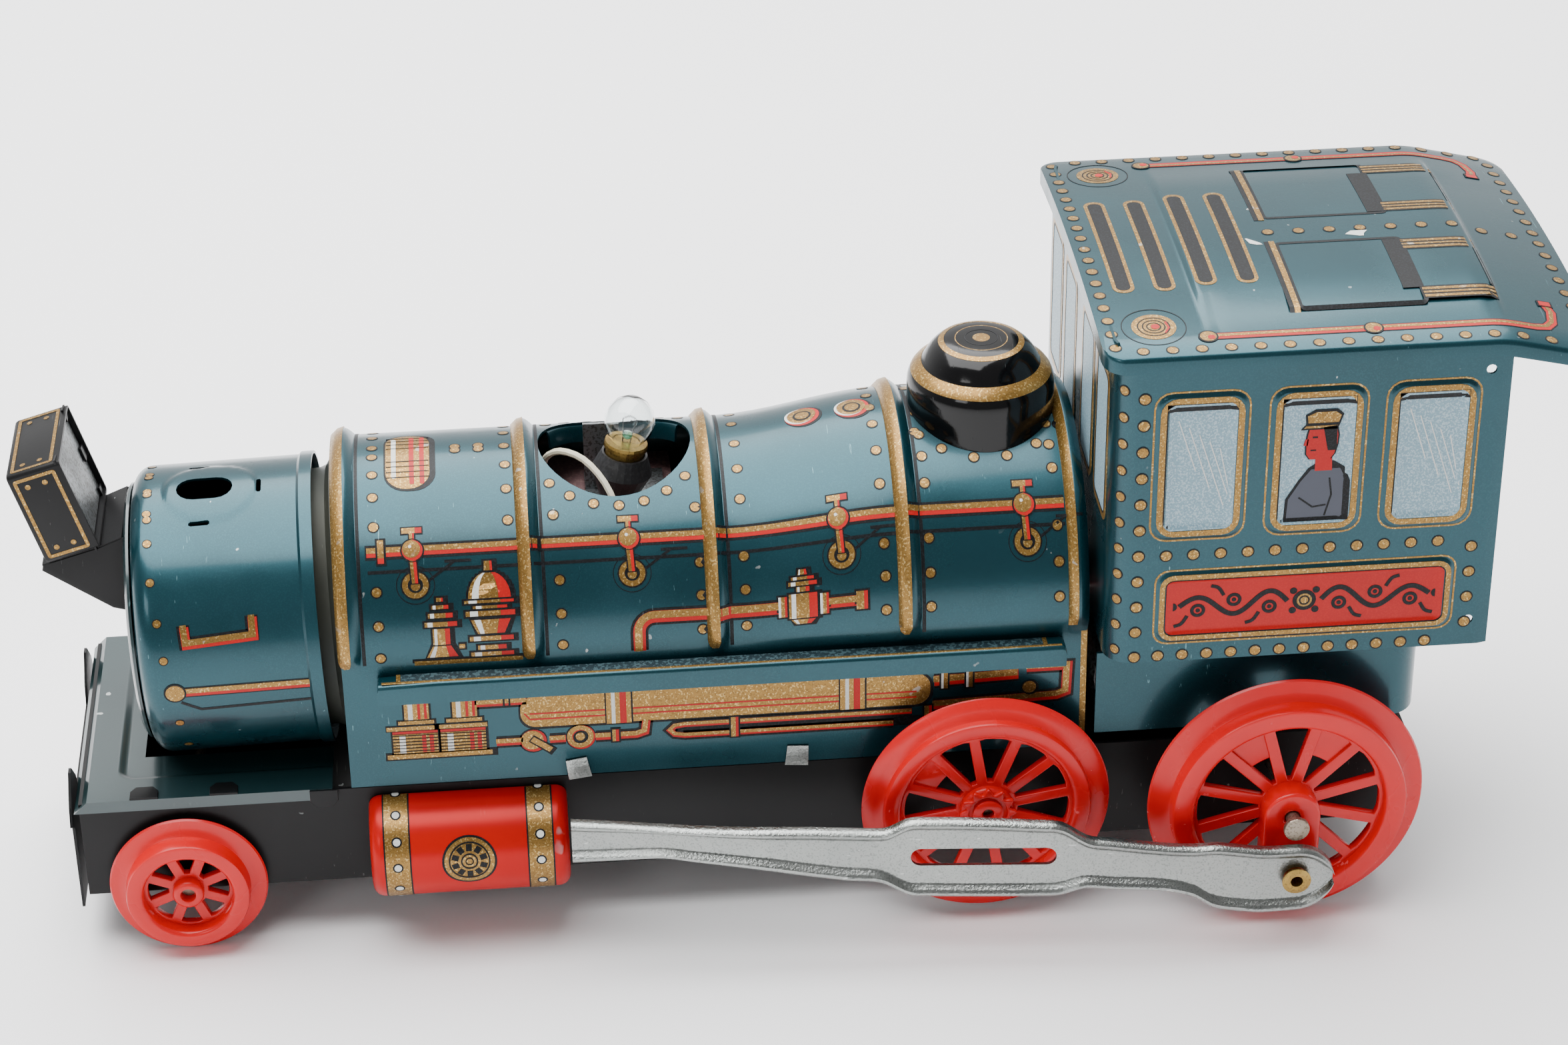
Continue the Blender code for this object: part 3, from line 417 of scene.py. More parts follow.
def pressed(name, outlines, thick, round_by, finish, place, body="frame", angle=32):
    """A flat piece with rounded edges, its top face in the place's XY plane; inner outlines are holes."""
    curve = bpy.data.curves.new(name, "CURVE")
    curve.dimensions = "2D"
    curve.fill_mode = "BOTH"
    curve.extrude = (thick / 2 - round_by) * MM
    curve.bevel_depth = round_by * MM
    curve.bevel_resolution = 2
    curve.offset = -round_by * MM
    for outline in outlines:
        spline = curve.splines.new("POLY")
        spline.points.add(len(outline) - 1)
        for point, (x, y) in zip(spline.points, outline):
            point.co = (x * MM, y * MM, 0, 1)
        spline.use_cyclic_u = True
    source = bpy.data.objects.new(name + "_outline", curve)
    mesh = bpy.data.meshes.new_from_object(source)
    bpy.data.objects.remove(source)
    bpy.data.curves.remove(curve)
    scale = Matrix.Scale(MM, 4)
    mesh.transform(scale @ place @ Matrix.Translation((0, 0, -thick / 2)) @ scale.inverted())
    outward(mesh)
    mesh.materials.clear()
    mesh.materials.append(FINISH[finish])
    obj = bpy.data.objects.new(name, mesh)
    bpy.context.scene.collection.objects.link(obj)
    soften(obj, angle)
    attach(obj, body)
    return obj


def wire(name, points, radius, finish, body="frame", sides=10):
    """A round wire through points, with its ring frames carried along the path."""
    path = [Vector(p) for p in points]
    rows, normal = [], None
    for i, p in enumerate(path):
        along = (path[min(i + 1, len(path) - 1)] - path[max(i - 1, 0)]).normalized()
        guide = normal if normal else Vector((0, 0, 1)) if abs(along.z) < 0.9 else Vector((0, 1, 0))
        normal = (guide - along * guide.dot(along)).normalized()
        side = along.cross(normal)
        rows.append([p + radius * (math.cos(a) * normal + math.sin(a) * side)
                     for a in (2 * math.pi * k / sides for k in range(sides))])
    return tube_of(name, rows, finish, body, 50)


def smooth_path(points, steps=8):
    """Catmull-Rom through points."""
    path = [Vector(p) for p in points]
    ends = [2 * path[0] - path[1], *path, 2 * path[-1] - path[-2]]
    made = []
    for a, b, c, d in zip(ends, ends[1:], ends[2:], ends[3:]):
        for i in range(steps):
            t = i / steps
            made.append(0.5 * (2 * b + (c - a) * t + (2 * a - 5 * b + 4 * c - d) * t**2
                               + (3 * b - a - 3 * c + d) * t**3))
    return [*made, path[-1]]


def cut(obj, cutter):
    """Cuts one piece with a throwaway body."""
    change = obj.modifiers.new("cut", "BOOLEAN")
    change.object = cutter
    change.solver = "EXACT"
    bake(obj)
    bpy.data.objects.remove(cutter)
    return obj


def throwaway(outline, low, high, place):
    """A prism for cutting: an outline in the place's XY plane, from low to high along its Z."""
    rows = [[place @ Vector((x, y, z)) for x, y in outline] for z in (low, high)]
    return tube_of("cutter", rows, "inside")


def paint(node, finish):
    """Gives a CAD node that stays in view a finish."""
    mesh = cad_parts[node].data
    mesh.materials.clear()
    mesh.materials.append(FINISH[finish])


def eased(share):
    share = min(max(share, 0.0), 1.0)
    return share * share * (3 - 2 * share)


# Surfaces: each takes two coordinates along the sheet, a lift off it, and the side ------------


def rise(x):
    return FIREBOX_RISE * eased((x - TAPER_X[0]) / (TAPER_X[1] - TAPER_X[0]))


def bead(x, s):
    """Height of the raised bands; they fade out at the foot of the round part."""
    for front, rear in BEADS:
        if front < x < rear:
            return BEAD_TALL * math.sin(math.pi * (x - front) / (rear - front)) * eased((s + 1) / 3)
    return 0.0


def boiler(x, s, lift=0.0, sign=-1):
    angle = s / BOILER_R
    radius = BOILER_R + rise(x) + bead(x, min(s, 2 * TOP - s)) + lift
    return (x, sign * radius * math.cos(angle), BOILER_Z + rise(x) + radius * math.sin(angle))


def panel(x, z, lift=0.0, sign=-1):
    return (x, sign * (BOILER_HALF + lift), z)


def stack_boss(x, across):
    """The raised round seat of the missing chimney, by distance from its middle."""
    return 0.4 * eased((10.2 - math.hypot(x - STACK_X - 2.0, across)) / 0.7)


def drum(x, degrees, lift=0.0, sign=-1, radius=DRUM_R):
    angle = math.radians(90 - degrees)
    radius += lift + stack_boss(x, radius * angle)
    angle = sign * angle - DRUM_TWIST
    middle = (DRUM_X[0] + DRUM_X[1]) / 2
    along, up = x - middle, radius * math.cos(angle)
    return (middle + along * math.cos(DRUM_PITCH) - up * math.sin(DRUM_PITCH),
            radius * math.sin(angle),
            DRUM_Z + along * math.sin(DRUM_PITCH) + up * math.cos(DRUM_PITCH))


WINDOWS = ((71.5, 91.6), (95.3, 116.0), (119.4, 139.4))
WINDOW_Z = (96.9, 132.3)
PLATE = (73.2, 71.6, 137.3, 89.9)


def box_distance(x, z, box, corner):
    """Distance inside (positive) or outside a rounded box."""
    x0, z0, x1, z1 = box
    dx = abs(x - (x0 + x1) / 2) - (x1 - x0) / 2 + corner
    dz = abs(z - (z0 + z1) / 2) - (z1 - z0) / 2 + corner
    return corner - math.hypot(max(dx, 0), max(dz, 0)) - min(max(dx, dz), 0)


def cab_emboss(x, z):
    """The frames of the windows and of the plate stand a little proud."""
    best = 0.0
    for x0, x1 in WINDOWS:
        inside = box_distance(x, z, (x0, WINDOW_Z[0], x1, WINDOW_Z[1]), 4.0)
        best = max(best, eased((inside - 0.4) / 0.9) * (1 - eased((inside - 3.0) / 0.9)))
    inside = box_distance(x, z, PLATE, 4.0)
    return 0.55 * max(best, eased((inside - 0.4) / 0.9) * (1 - eased((inside - 2.4) / 0.9)))


def cab(u, z, lift=0.0, sign=-1):
    """The cab's side, going round its front corner where u is small."""
    bend = CAB_X[0] + CAB_CORNER
    if u >= bend:
        return (u, sign * (CAB_HALF + lift + cab_emboss(u, z)), z)
    angle = min((bend - u) / CAB_CORNER, math.pi / 2)
    reach = CAB_CORNER + lift
    return (bend - reach * math.sin(angle), sign * (CAB_HALF - CAB_CORNER + reach * math.cos(angle)), z)


def cab_front(y, z, lift=0.0, sign=-1):
    return (CAB_X[0] - lift, sign * y, z)


def roof_z(x, y):
    height = ROOF_EDGE_Z + ROOF_CROWN * (1 - (y / ROOF_HALF) ** 2)
    inside = box_distance(x, y, (HATCH[0], -HATCH[2], HATCH[1], HATCH[2]), 5.0)
    height += HATCH_TALL * eased(inside / 1.4)
    bend = x - ROOF_BEND_X
    return height - ROOF_DROOP * (max(bend, 0) if abs(bend) > 3 else (bend + 3) ** 2 / 12)


def roof(x, y, lift=0.0, sign=-1):
    return (x, sign * y, roof_z(x, y) + lift)


def cylinder(x, degrees, lift=0.0, sign=-1):
    angle, radius = math.radians(degrees), CYLINDER_R + lift
    return (x, sign * (CYLINDER_Y + radius * math.cos(angle)), CYLINDER_Z + radius * math.sin(angle))


# Skins that stand for plain CAD sheets ----------------------------------------------------


def stations(start, end, step, fine=()):
    """Places along a length, closer together inside each fine stretch."""
    marks = {round(start, 3), round(end, 3)}
    count = max(1, math.ceil((end - start) / step))
    marks |= {round(start + (end - start) * i / count, 3) for i in range(count + 1)}
    for low, high, pitch in fine:
        many = math.ceil((high - low) / pitch)
        marks |= {round(low + (high - low) * i / many, 3) for i in range(many + 1)}
    kept = []
    for mark in sorted(m for m in marks if start <= m <= end):
        if not kept or mark - kept[-1] > 0.12:
            kept.append(mark)
    return kept


def make_boiler():
    front, rear = BOILER_LOW[0], BOILER_HIGH[0]
    foot = BOILER_LOW[2]
    rows = []
    for x in stations(front, rear, 4.0, [(a, b, 0.45) for a, b in BEADS]):
        up = [panel(x, z) for z in (foot, foot + 8, BOILER_Z - 4.5, BOILER_Z - 1.6)]
        down = [panel(x, z, 0, 1) for z in (BOILER_Z - 1.6, BOILER_Z - 4.5, foot + 8, foot)]
        over = [boiler(x, 2 * TOP * i / 64) for i in range(65)]
        rows.append([*up, *over, *down])
    shell = sheet("boiler_skin", rows, "teal")
    hole_x, hole_r = LAMP_HOLE
    above = Matrix.Translation((hole_x, 0, 0))
    outline = arc(hole_r, 0, 352.5, 47)
    cut(shell, throwaway(outline, BOILER_Z + 12, BOILER_Z + 50, above))
    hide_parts("boiler_shell")
    lip = []
    for angle in range(30, 151, 6):
        turn = math.radians(angle)
        row = []
        for reach, drop in ((0.4, 0.0), (-0.3, -0.5), (-0.7, -1.6), (-0.9, -4.4)):
            y = (hole_r + reach) * math.sin(turn)
            row.append((hole_x + (hole_r + reach) * math.cos(turn), y,
                        BOILER_Z - 0.4 + math.sqrt(BOILER_R**2 - y**2) + drop))
        lip.append(row)
    sheet("lamp_hole_lip", lip, "teal", thick=0.5)


def drum_profile():
    front, rear = DRUM_X
    bend = 4.0
    nose = [(front + bend + x, DRUM_R - bend + r) for x, r in arc(bend, 180, 90, 8)]
    straight = [(x, DRUM_R) for x in stations(front + bend, rear - 3.2, 3.0, [(STACK_X - 10, STACK_X + 14, 0.7)])]
    return [(front, 25.0), *nose, *straight[1:], (rear - 2.6, DRUM_R + 0.6), (rear, DRUM_R + 0.6)]


def make_drum():
    rows = []
    for x, radius in drum_profile():
        ring = []
        for i in range(180):
            degrees = 90 - 2 * i
            side = 1 if degrees >= -90 else -1
            ring.append(drum(x, degrees if side > 0 else -180 - degrees, 0, side, radius))
        rows.append(ring)
    skin = tube_of("smokebox_skin", rows, "teal", ends=False)
    wall = skin.modifiers.new("wall", "SOLIDIFY")
    wall.thickness, wall.offset = TIN * MM, -1
    bake(skin)
    above = Matrix.Translation((STACK_X, 0, DRUM_Z)) @ Matrix.Rotation(DRUM_TWIST, 4, "X")
    cut(skin, throwaway(stadium(12.0, 7.4), 20, 40, above))
    for x, y, turn in ((11.5, 0, 90), (-1.5, 10.0, 0), (-1.0, -10.0, 0)):
        spot = above @ Matrix.Translation((x, y, 0)) @ Matrix.Rotation(math.radians(turn), 4, "Z")
        cut(skin, throwaway(stadium(4.6, 1.0, 3), 20, 40, spot))
    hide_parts("smokebox_drum")


def drum_frame(x):
    """Looks forward from the drum's tilted axis."""
    spot = Vector(drum(x, 90)) + Vector(drum(x, -90))
    tilt = Matrix.Rotation(-DRUM_PITCH, 4, "Y")
    return Matrix.Translation(spot / 2) @ tilt @ facing(0, 0, 0, "front")


def make_door():
    nose = drum_frame(DRUM_X[0])
    profile = [(0, 2.6), (7.5, 2.5), (9.6, 2.2), (11.2, 1.5), (12.4, 1.3), (24.0, 1.3), (25.6, 1.7),
               (27.0, 1.5), (27.9, 0.9), (27.9, 0.3), (0, 0.3)]
    door = lathe("smokebox_door_skin", profile, "dark", nose, steps=96)
    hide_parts("smokebox_door")
    lathe("door_ring", [(21.4, 1.28), (23.4, 1.28), (23.4, 1.42), (21.4, 1.42)], "gold", nose, steps=96, closed=True)
    lathe("door_hub", [(0, 2.4), (6.0, 2.4), (6.0, 2.66), (0, 2.66)], "red", nose, steps=64)
    lathe("door_hub_ring", [(6.0, 2.4), (7.2, 2.4), (7.2, 2.64), (6.0, 2.64)], "gold", nose, steps=64, closed=True)
    for i in range(16):
        spot = nose @ Matrix.Rotation(2 * math.pi * i / 16, 4, "Z") @ Matrix.Translation((18.2, 0, 0))
        lathe(f"door_rivet_{i:02d}", [(0, 1.2), (1.0, 1.2), (1.0, 1.4), (0, 1.46)], "gold", spot, steps=16)
    front, rear = 4.6, -3.9
    ring = [(27.8, front), (28.0, -1.0), (28.6, -2.6), (30.2, -3.6), (32.2, rear), (32.2, rear - 0.5), (27.4, rear - 0.5),
            (27.4, front)]
    neck = lathe("smokebox_neck_skin", ring, "neck", drum_frame(DRUM_X[1]), steps=96, closed=True)
    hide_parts("smokebox_neck")


def make_headlamp():
    lean = 16.3
    deep, tall, wide = 12.0, 22.4, 25.0
    place = Matrix.Translation((-155.6, 0, 99.0)) @ Matrix.Rotation(math.radians(-lean), 4, "Y")
    case = []
    for x, inset in ((deep / 2, 0.0), (-deep / 2 + 0.7, 0.0), (-deep / 2 + 0.2, 0.2), (-deep / 2, 0.7)):
        loop = []
        for cy, cz, start in ((1, 1, 0), (-1, 1, 90), (-1, -1, 180), (1, -1, 270)):
            for a, b in arc(0.9, start, start + 90, 3):
                loop.append(place @ Vector((x, cy * (wide / 2 - inset - 0.9) + a, cz * (tall / 2 - inset - 0.9) + b)))
        case.append(loop)
    count = len(case[0])
    faces = grid_faces(4, count, True) + [tuple(range(3 * count, 4 * count))]
    box = solid("headlamp_skin", [p for row in case for p in row], faces, "black")
    wall = box.modifiers.new("wall", "SOLIDIFY")
    wall.thickness, wall.offset = 0.5 * MM, -1
    bake(box)
    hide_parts("headlamp_box")
    for sign in (-1, 1):
        for i, (z, size) in enumerate(((tall / 2 - 1.0, 3.0), (0.0, 3.4), (-tall / 2 + 1.0, 3.0))):
            spot = place @ Matrix.Translation((deep / 2 - 0.6, sign * (wide / 2 - 1.7), z))
            tab = spot @ Matrix.Rotation(math.radians(90), 4, "Y")
            pressed(f"headlamp_tab_{'lr'[sign > 0]}{i}", [[(-size / 2, -1.6), (size / 2, -1.6), (size / 2 - 0.4, 1.6),
                    (-size / 2 + 0.4, 1.6)]], 0.5, 0.1, "black", tab)
    paint("headlamp_back", "dull")
    arm = [(-141.7, 72.9), (-145.5, 74.0), (-159.5, 84.2), (-159.2, 85.5), (-147.2, 89.0), (-141.7, 91.2)]
    notch = arc(2.6, 90, 250, 9, (-142.2, 84.6))
    near = pressed("headlamp_bracket_left", [arm], 0.5, 0.12, "black", facing_side(-1, 0, 11.0, 0))
    pressed("headlamp_bracket_right", [[(-x, z) for x, z in reversed(arm + notch)]], 0.5, 0.12, "black",
            facing_side(1, 0, 11.0, 0))
    ledge = [(-159.2, 85.0), (-155.0, 86.3), (-147.2, 88.6), (-141.9, 90.8)]
    sheet("headlamp_ledge", [[(x, y, z) for x, z in ledge] for y in (-10.8, -4.0, 4.0, 10.8)], "black")
    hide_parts("headlamp_bracket")
    side = Print("headlamp_side", lambda u, v, lift, sign: place @ Vector((u, sign * (wide / 2 + lift), v)))
    side.frame("gold", (-4.5, -9.7, 4.1, 9.5), 0.75, 0, 0.3)
    for u, v in ((-2.3, 7.6), (1.5, 7.6), (-2.3, -7.9), (1.5, -7.9)):
        side.dot("gold", u, v, 0.6, 0)
    side.done()
    lid = Print("headlamp_lid", lambda u, v, lift, sign: place @ Vector((u, v, tall / 2 + lift)), ("right",))
    lid.frame("gold", (-4.5, -11.0, 4.1, 11.0), 0.75, 0, 0.3)
    for u, v in ((-2.3, 9.0), (1.5, 9.0), (-2.3, -9.0), (1.5, -9.0)):
        lid.dot("gold", u, v, 0.6, 0)
    lid.done()
    face = Print("headlamp_face", lambda u, v, lift, sign: place @ Vector((-deep / 2 - lift, u, v)), ("left",))
    face.frame("gold", (-10.6, -9.4, 10.6, 9.4), 0.7, 0)
    face.ring("gold", 0, 0, 7.6, 1.2, 0)
    face.dot("white", 0, 0, 6.6, 0)
    face.ring("ink", 0, 0, 6.5, 0.4, 1)
    for reach in (2.2, 4.4):
        face.ring("pane", 0, 0, reach, 0.5, 1)
    face.done()


def make_deck():
    low, high = span("front_deck")
    (front, rear), half, top = (low[0], high[0]), high[1], high[2]
    recess = (front + 9.0, -25.0, rear + 6, 25.0)

    def height(x, y):
        return top - 0.9 * eased(box_distance(x, y, recess, 4.0) / 1.6)

    xs = stations(front, rear, 3.0, [(front + 7, front + 13, 0.5)])
    ys = stations(-half, half, 3.0, [(-27, -22, 0.5), (22, 27, 0.5)])
    rows = [[(x, -half, top - 2.8), *((x, y, height(x, y)) for y in ys), (x, half, top - 2.8)] for x in xs]
    nose = [(front, y, top - 2.8) for _, y, _ in rows[0]]
    deck = sheet("front_deck_skin", [nose, *rows], "dark")
    opening = [(-142.0, -15.6), (-100.0, -15.6), (-100.0, 15.6), (-142.0, 15.6)]
    cut(deck, throwaway(opening, 30, 45, Matrix.Identity(4)))
    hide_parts("front_deck")
    tab = [(-3, 0), (3, 0), (3, 2.6), (1.8, 4.2), (-1.8, 4.2), (-3, 2.6)]
    for side, sign in SIDES.items():
        outline = [(u, -sign * v) for u, v in tab]
        for i, x in enumerate((-141.3, -124.3)):
            place = Matrix.Translation((x, sign * half, top + 0.5))
            pressed(f"deck_tab_{side}_{i}", [outline], 0.5, 0.12, "black", place)
        hanging = facing_side(sign, -103.0, half + 0.5, top - 0.2)
        pressed(f"deck_tab_{side}_2", [[(u, -v) for u, v in tab]], 0.5, 0.12, "black", hanging)


def make_boards():
    low, high = span("running_board_right")
    front, rear, half, top = low[0], high[0], high[1], high[2]
    inner = BOILER_HALF + 0.3
    lip = low[2]
    bend = 1.0
    for side, sign in SIDES.items():
        section = [(inner, top - 4.6), (inner, top - 0.8), (inner + 0.5, top - 0.1), (inner + 1.1, top)]
        section += arc(bend, 90, 0, 5, (half - bend, top - bend)) + [(half, lip)]
        rows = []
        for x in stations(front + bend, rear - bend, 12.0):
            rows.append([(x, sign * y, z) for y, z in section])
        for x, turn in ((front, 1), (rear, -1)):
            drop = [(x + turn * 0.3, sign * y, z - 0.35) for y, z in section[:-1]] + [(x + turn * 0.3, sign * half, lip)]
            hang = [(x, sign * y, min(z - 1.2, top - 1.2)) for y, z in section[:-1]] + [(x, sign * (half - 0.2), lip)]
            foot = [(x, sign * min(y, half - 0.4), lip) for y, _ in section]
            rows = [foot, hang, drop, *rows] if turn > 0 else [*rows, drop, hang, foot]
        if sign > 0:
            rows = [row[::-1] for row in rows]
        board = sheet(f"running_board_skin_{side}", [row[::-1] for row in rows], "teal", thick=0.45)
        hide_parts(f"running_board_{side}")
    strip = Print("tread", lambda u, v, lift, sign: (u, sign * v, top + lift))
    strip.area("tread", [(inner + 0.7, front + 5, rear - 5), (half - 1.1, front + 5, rear - 5)], 0)
    strip.stroke("gold", [(front + 1, half - 0.9), (rear - 1, half - 0.9)], 0.5, 1)
    for x in (front + 4.5, rear - 4.5):
        strip.stroke("gold", [(x, inner + 0.7), (x, half - 1.1)], 0.9, 1)
    strip.done()


def make_dome():
    place = Matrix.Translation((DOME_X, 0, 0))
    crown = DOME_TOP + 0.8
    outer = [(0, 0), (4, -0.04), (6.2, -0.15), (8.0, -0.45), (9.2, -0.9), (10.4, -1.8), (11.5, -3.1), (12.3, -4.5),
             (12.8, -5.3), (13.6, -5.9), (14.5, -6.6), (15.1, -7.4), (15.5, -8.2), (15.8, -9.2), (DOME_R, -10.4),
             (DOME_R, -14.0), (DOME_R, -22.0)]
    outer = [(r, crown + z) for r, z in outer]
    inner = [(DOME_R - 0.7, crown - 21.0), (DOME_R - 0.7, crown - 9), (12.0, crown - 5), (0, crown - 1)]
    dome = lathe("steam_dome_skin", outer + inner, "gloss", place, steps=96, angle=50)
    saddle = arc(BOILER_R + FIREBOX_RISE + 0.06, 0, 356, 89)
    across = Matrix.Translation((DOME_X, 0, BOILER_Z + FIREBOX_RISE)) @ Matrix.Rotation(math.pi / 2, 4, "Y")
    cut(dome, throwaway(saddle, -22, 22, across))
    soften(dome, 50)
    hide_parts("steam_dome")
    skin = 0.05

    def band(name, profile, finish):
        low = [(r - 0.12, z - 0.12) for r, z in reversed(profile)]
        lathe(name, [(r + skin, z + skin) for r, z in profile] + low, finish, place, steps=96, closed=True, angle=60)

    band("dome_belt", outer[8:12], "gold")
    band("dome_ring", [(8.0, crown - 0.45), (8.6, crown - 0.68), (9.2, crown - 0.9)], "gold")
    lathe("dome_disc", [(0, crown + 0.03), (5.7, crown - 0.12), (5.7, crown - 0.4), (0, crown - 0.4)], "gold", place, steps=72)
    lathe("dome_line", [(3.45, crown - 0.2), (3.45, crown + 0.02), (3.6, crown + 0.01), (3.6, crown - 0.2)], "ink", place,
          steps=72, closed=True)


def make_cab():
    low_z, high_z = CAB_LOW[2], CAB_HIGH[2]
    front, rear = CAB_X
    bend = front + CAB_CORNER
    edges = [(x + d, x + e, 0.45) for w in WINDOWS for x, d, e in ((w[0], 0, 4.6), (w[1], -4.6, 0))]
    edges += [(PLATE[0], PLATE[0] + 4.4, 0.5), (PLATE[2] - 4.4, PLATE[2], 0.5)]
    us = stations(bend, rear, 3.0, edges)
    zs = stations(low_z, high_z, 3.0, [(WINDOW_Z[0], WINDOW_Z[0] + 5, 0.45), (WINDOW_Z[1] - 5, WINDOW_Z[1], 0.45),
                                       (PLATE[1], PLATE[1] + 4.6, 0.5), (PLATE[3] - 4.6, PLATE[3], 0.5)])
    corner = [bend - CAB_CORNER * math.pi / 2 * i / 8 for i in range(8, 0, -1)]
    rows = []
    for z in zs:
        near = [cab(u, z) for u in us] + [(rear + 1.2, -CAB_HALF, z), (rear + 3.3, -CAB_HALF + 0.5, z)]
        left = near[::-1] + [cab(u, z) for u in reversed(corner)]
        face = [(front, y, z) for y in stations(CAB_CORNER + 3 - CAB_HALF, CAB_HALF - CAB_CORNER - 3, 4.0)]
        rows.append(left + face + [(x, -y, z) for x, y, z in reversed(left)])
    rows.append([(x, y, roof_z(x, min(abs(y), HATCH[2] - 9 if x < front + 1 else abs(y))) - 0.7) for x, y, z in rows[-1]])
    skin = sheet("cab_skin", rows, "teal")
    for sign in (-1, 1):
        for z in (CAB_HIGH[2] - 5.9, CAB_LOW[2] + 9.1):
            hole = throwaway(arc(1.1, 0, 330, 11), -3, 3, facing_side(sign, rear - 1.2, CAB_HALF, z))
            cut(skin, hole)
    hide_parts("cab_body")
    low, high = span("cab_base")
    front, rear, half, corner_r = low[0], high[0], high[1], 7.0
    rows = []
    for z in stations(low[2], high[2], 6.0):
        side = [(front, half, z), (front + 20, half, z), (front + 40, half, z)]
        side += [(x, y, z) for x, y in arc(corner_r, 90, 0, 10, (rear - corner_r, half - corner_r))]
        rows.append(side + [(x, -y, z) for x, y, z in reversed(side)])
    base = sheet("cab_base_skin", rows, "teal")
    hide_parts("cab_base")


def make_roof():
    front, rear, corner, lip = ROOF_LOW[0], ROOF_HIGH[0], 5.0, 3.6
    xs = stations(front + corner, rear - corner, 4.0, [(HATCH[0] - 1, HATCH[0] + 4, 0.5), (HATCH[1] - 4, HATCH[1] + 1, 0.5),
                                                       (ROOF_BEND_X - 4, ROOF_BEND_X + 4, 0.8)])
    nose = [(front + corner - corner * math.cos(math.radians(a)), math.sin(math.radians(a))) for a in range(0, 90, 9)]
    tail = [(rear - corner + corner * math.cos(math.radians(a)), math.sin(math.radians(a))) for a in range(81, -1, -9)]
    marks = stations(-0.985, 0.985, 0.05, [(-0.74, -0.64, 0.012), (0.64, 0.74, 0.012)])
    rows = []
    for x, share in [*nose, *((x, 1.0) for x in xs), *tail]:
        half = ROOF_HALF - corner + corner * share
        edge = roof_z(x, half)
        top = [(x, t * half, roof_z(x, t * half)) for t in marks]
        sides = [(half - 0.15, edge - 0.35), (half, edge - 1.1), (half, edge - lip)]
        rows.append([(x, -y, z) for y, z in reversed(sides)] + top + [(x, y, z) for y, z in sides])
    first = [(x - 0.05, y, roof_z(x, y) - lip) for x, y, z in rows[0]]
    last = [(x + 0.05, y, roof_z(x, y) - lip) for x, y, z in rows[-1]]
    skin = sheet("cab_roof_skin", [first, *rows, last], "teal", thick=0.5, angle=50)
    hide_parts("cab_roof")


def make_cylinders():
    front, rear = CYLINDER_X
    middle, nose, bend = (front + rear) / 2, (rear - front) / 2, 2.6
    rounded = [(CYLINDER_R - bend + x, nose - bend + z) for x, z in arc(bend, 90, 0, 8)]
    profile = [(0, nose), *rounded, *[(r, -z) for r, z in reversed(rounded)], (0, -nose)]
    for side, sign in SIDES.items():
        barrel = lathe(f"cylinder_skin_{side}", profile, "tin_red", facing(middle, sign * CYLINDER_Y, CYLINDER_Z, "front"),
                       steps=96)
        behind = [(front - 3, 10), (rear + 3, 10), (rear + 3, 40), (front - 3, 40)]
        cut(barrel, throwaway(behind, 0, 32.4, facing_side(sign, 0, 0, 0) @ Matrix.Diagonal((-sign, 1, 1, 1))))
        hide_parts(f"cylinder_{side}")


# Rods and wheels --------------------------------------------------------------------------


def through(marks, x, column):
    """A smooth curve through one column of a table of marks, without overshoot."""
    slopes = [(b[column] - a[column]) / (b[0] - a[0]) for a, b in zip(marks, marks[1:])]
    ends = [slopes[0], *((a + b) / 2 if a * b > 0 else 0.0 for a, b in zip(slopes, slopes[1:])), slopes[-1]]
    k = next((i for i in range(len(slopes)) if x <= marks[i + 1][0]), len(slopes) - 1)
    step = marks[k + 1][0] - marks[k][0]
    t = (x - marks[k][0]) / step
    low, high = marks[k][column], marks[k + 1][column]
    return (low * (2 * t**3 - 3 * t**2 + 1) + high * (3 * t**2 - 2 * t**3)
            + step * (ends[k] * (t**3 - 2 * t**2 + t) + ends[k + 1] * (t**3 - t**2)))


ROD_TIP = 8.3
# X, lower edge, upper edge (from the crank pin's height), outer face
ROD_MARKS = (
    (-50.6, 6.6, 17.3), (-40.0, 7.2, 16.6), (-32.0, 7.6, 15.9), (-24.0, 6.4, 15.3), (-14.0, 4.8, 14.8),
    (0.0, 2.4, 14.6), (8.0, 1.2, 14.3), (15.4, 0.4, 14.1), (21.4, -2.9, 16.8), (25.0, -3.1, 16.9), (49.0, -3.4, 15.9),
    (53.4, -3.2, 15.5), (59.6, -1.4, 11.7), (63.0, -1.7, 11.2), (82.0, -4.0, 9.3), (86.4, -6.8, 9.6),
    (92.0, -7.9, 9.0), (99.0, -8.4, 8.3), (104.2, -8.3, 8.3),
)


def rod_row(x, low, high, face, sign):
    """One section of the pressed rod: a flat middle between two rolled beads."""
    wide = high - low
    roll = min(3.0, wide * 0.27)
    edge = [(0.0, -1.6), (0.1, -0.7), (roll * 0.12, 0.1), (roll * 0.32, 0.6), (roll * 0.52, 0.55), (roll * 0.72, 0.0),
            (roll * 0.88, -0.75), (roll, -1.0), (roll + 0.3, -1.05)]
    section = [(low + z, lift) for z, lift in edge] + [(high - z, lift) for z, lift in reversed(edge)]
    back = [(high - 0.6, -1.9), (low + 0.6, -1.9)]
    return [(x, sign * (face + lift), PIN_Z + z) for z, lift in section + back]


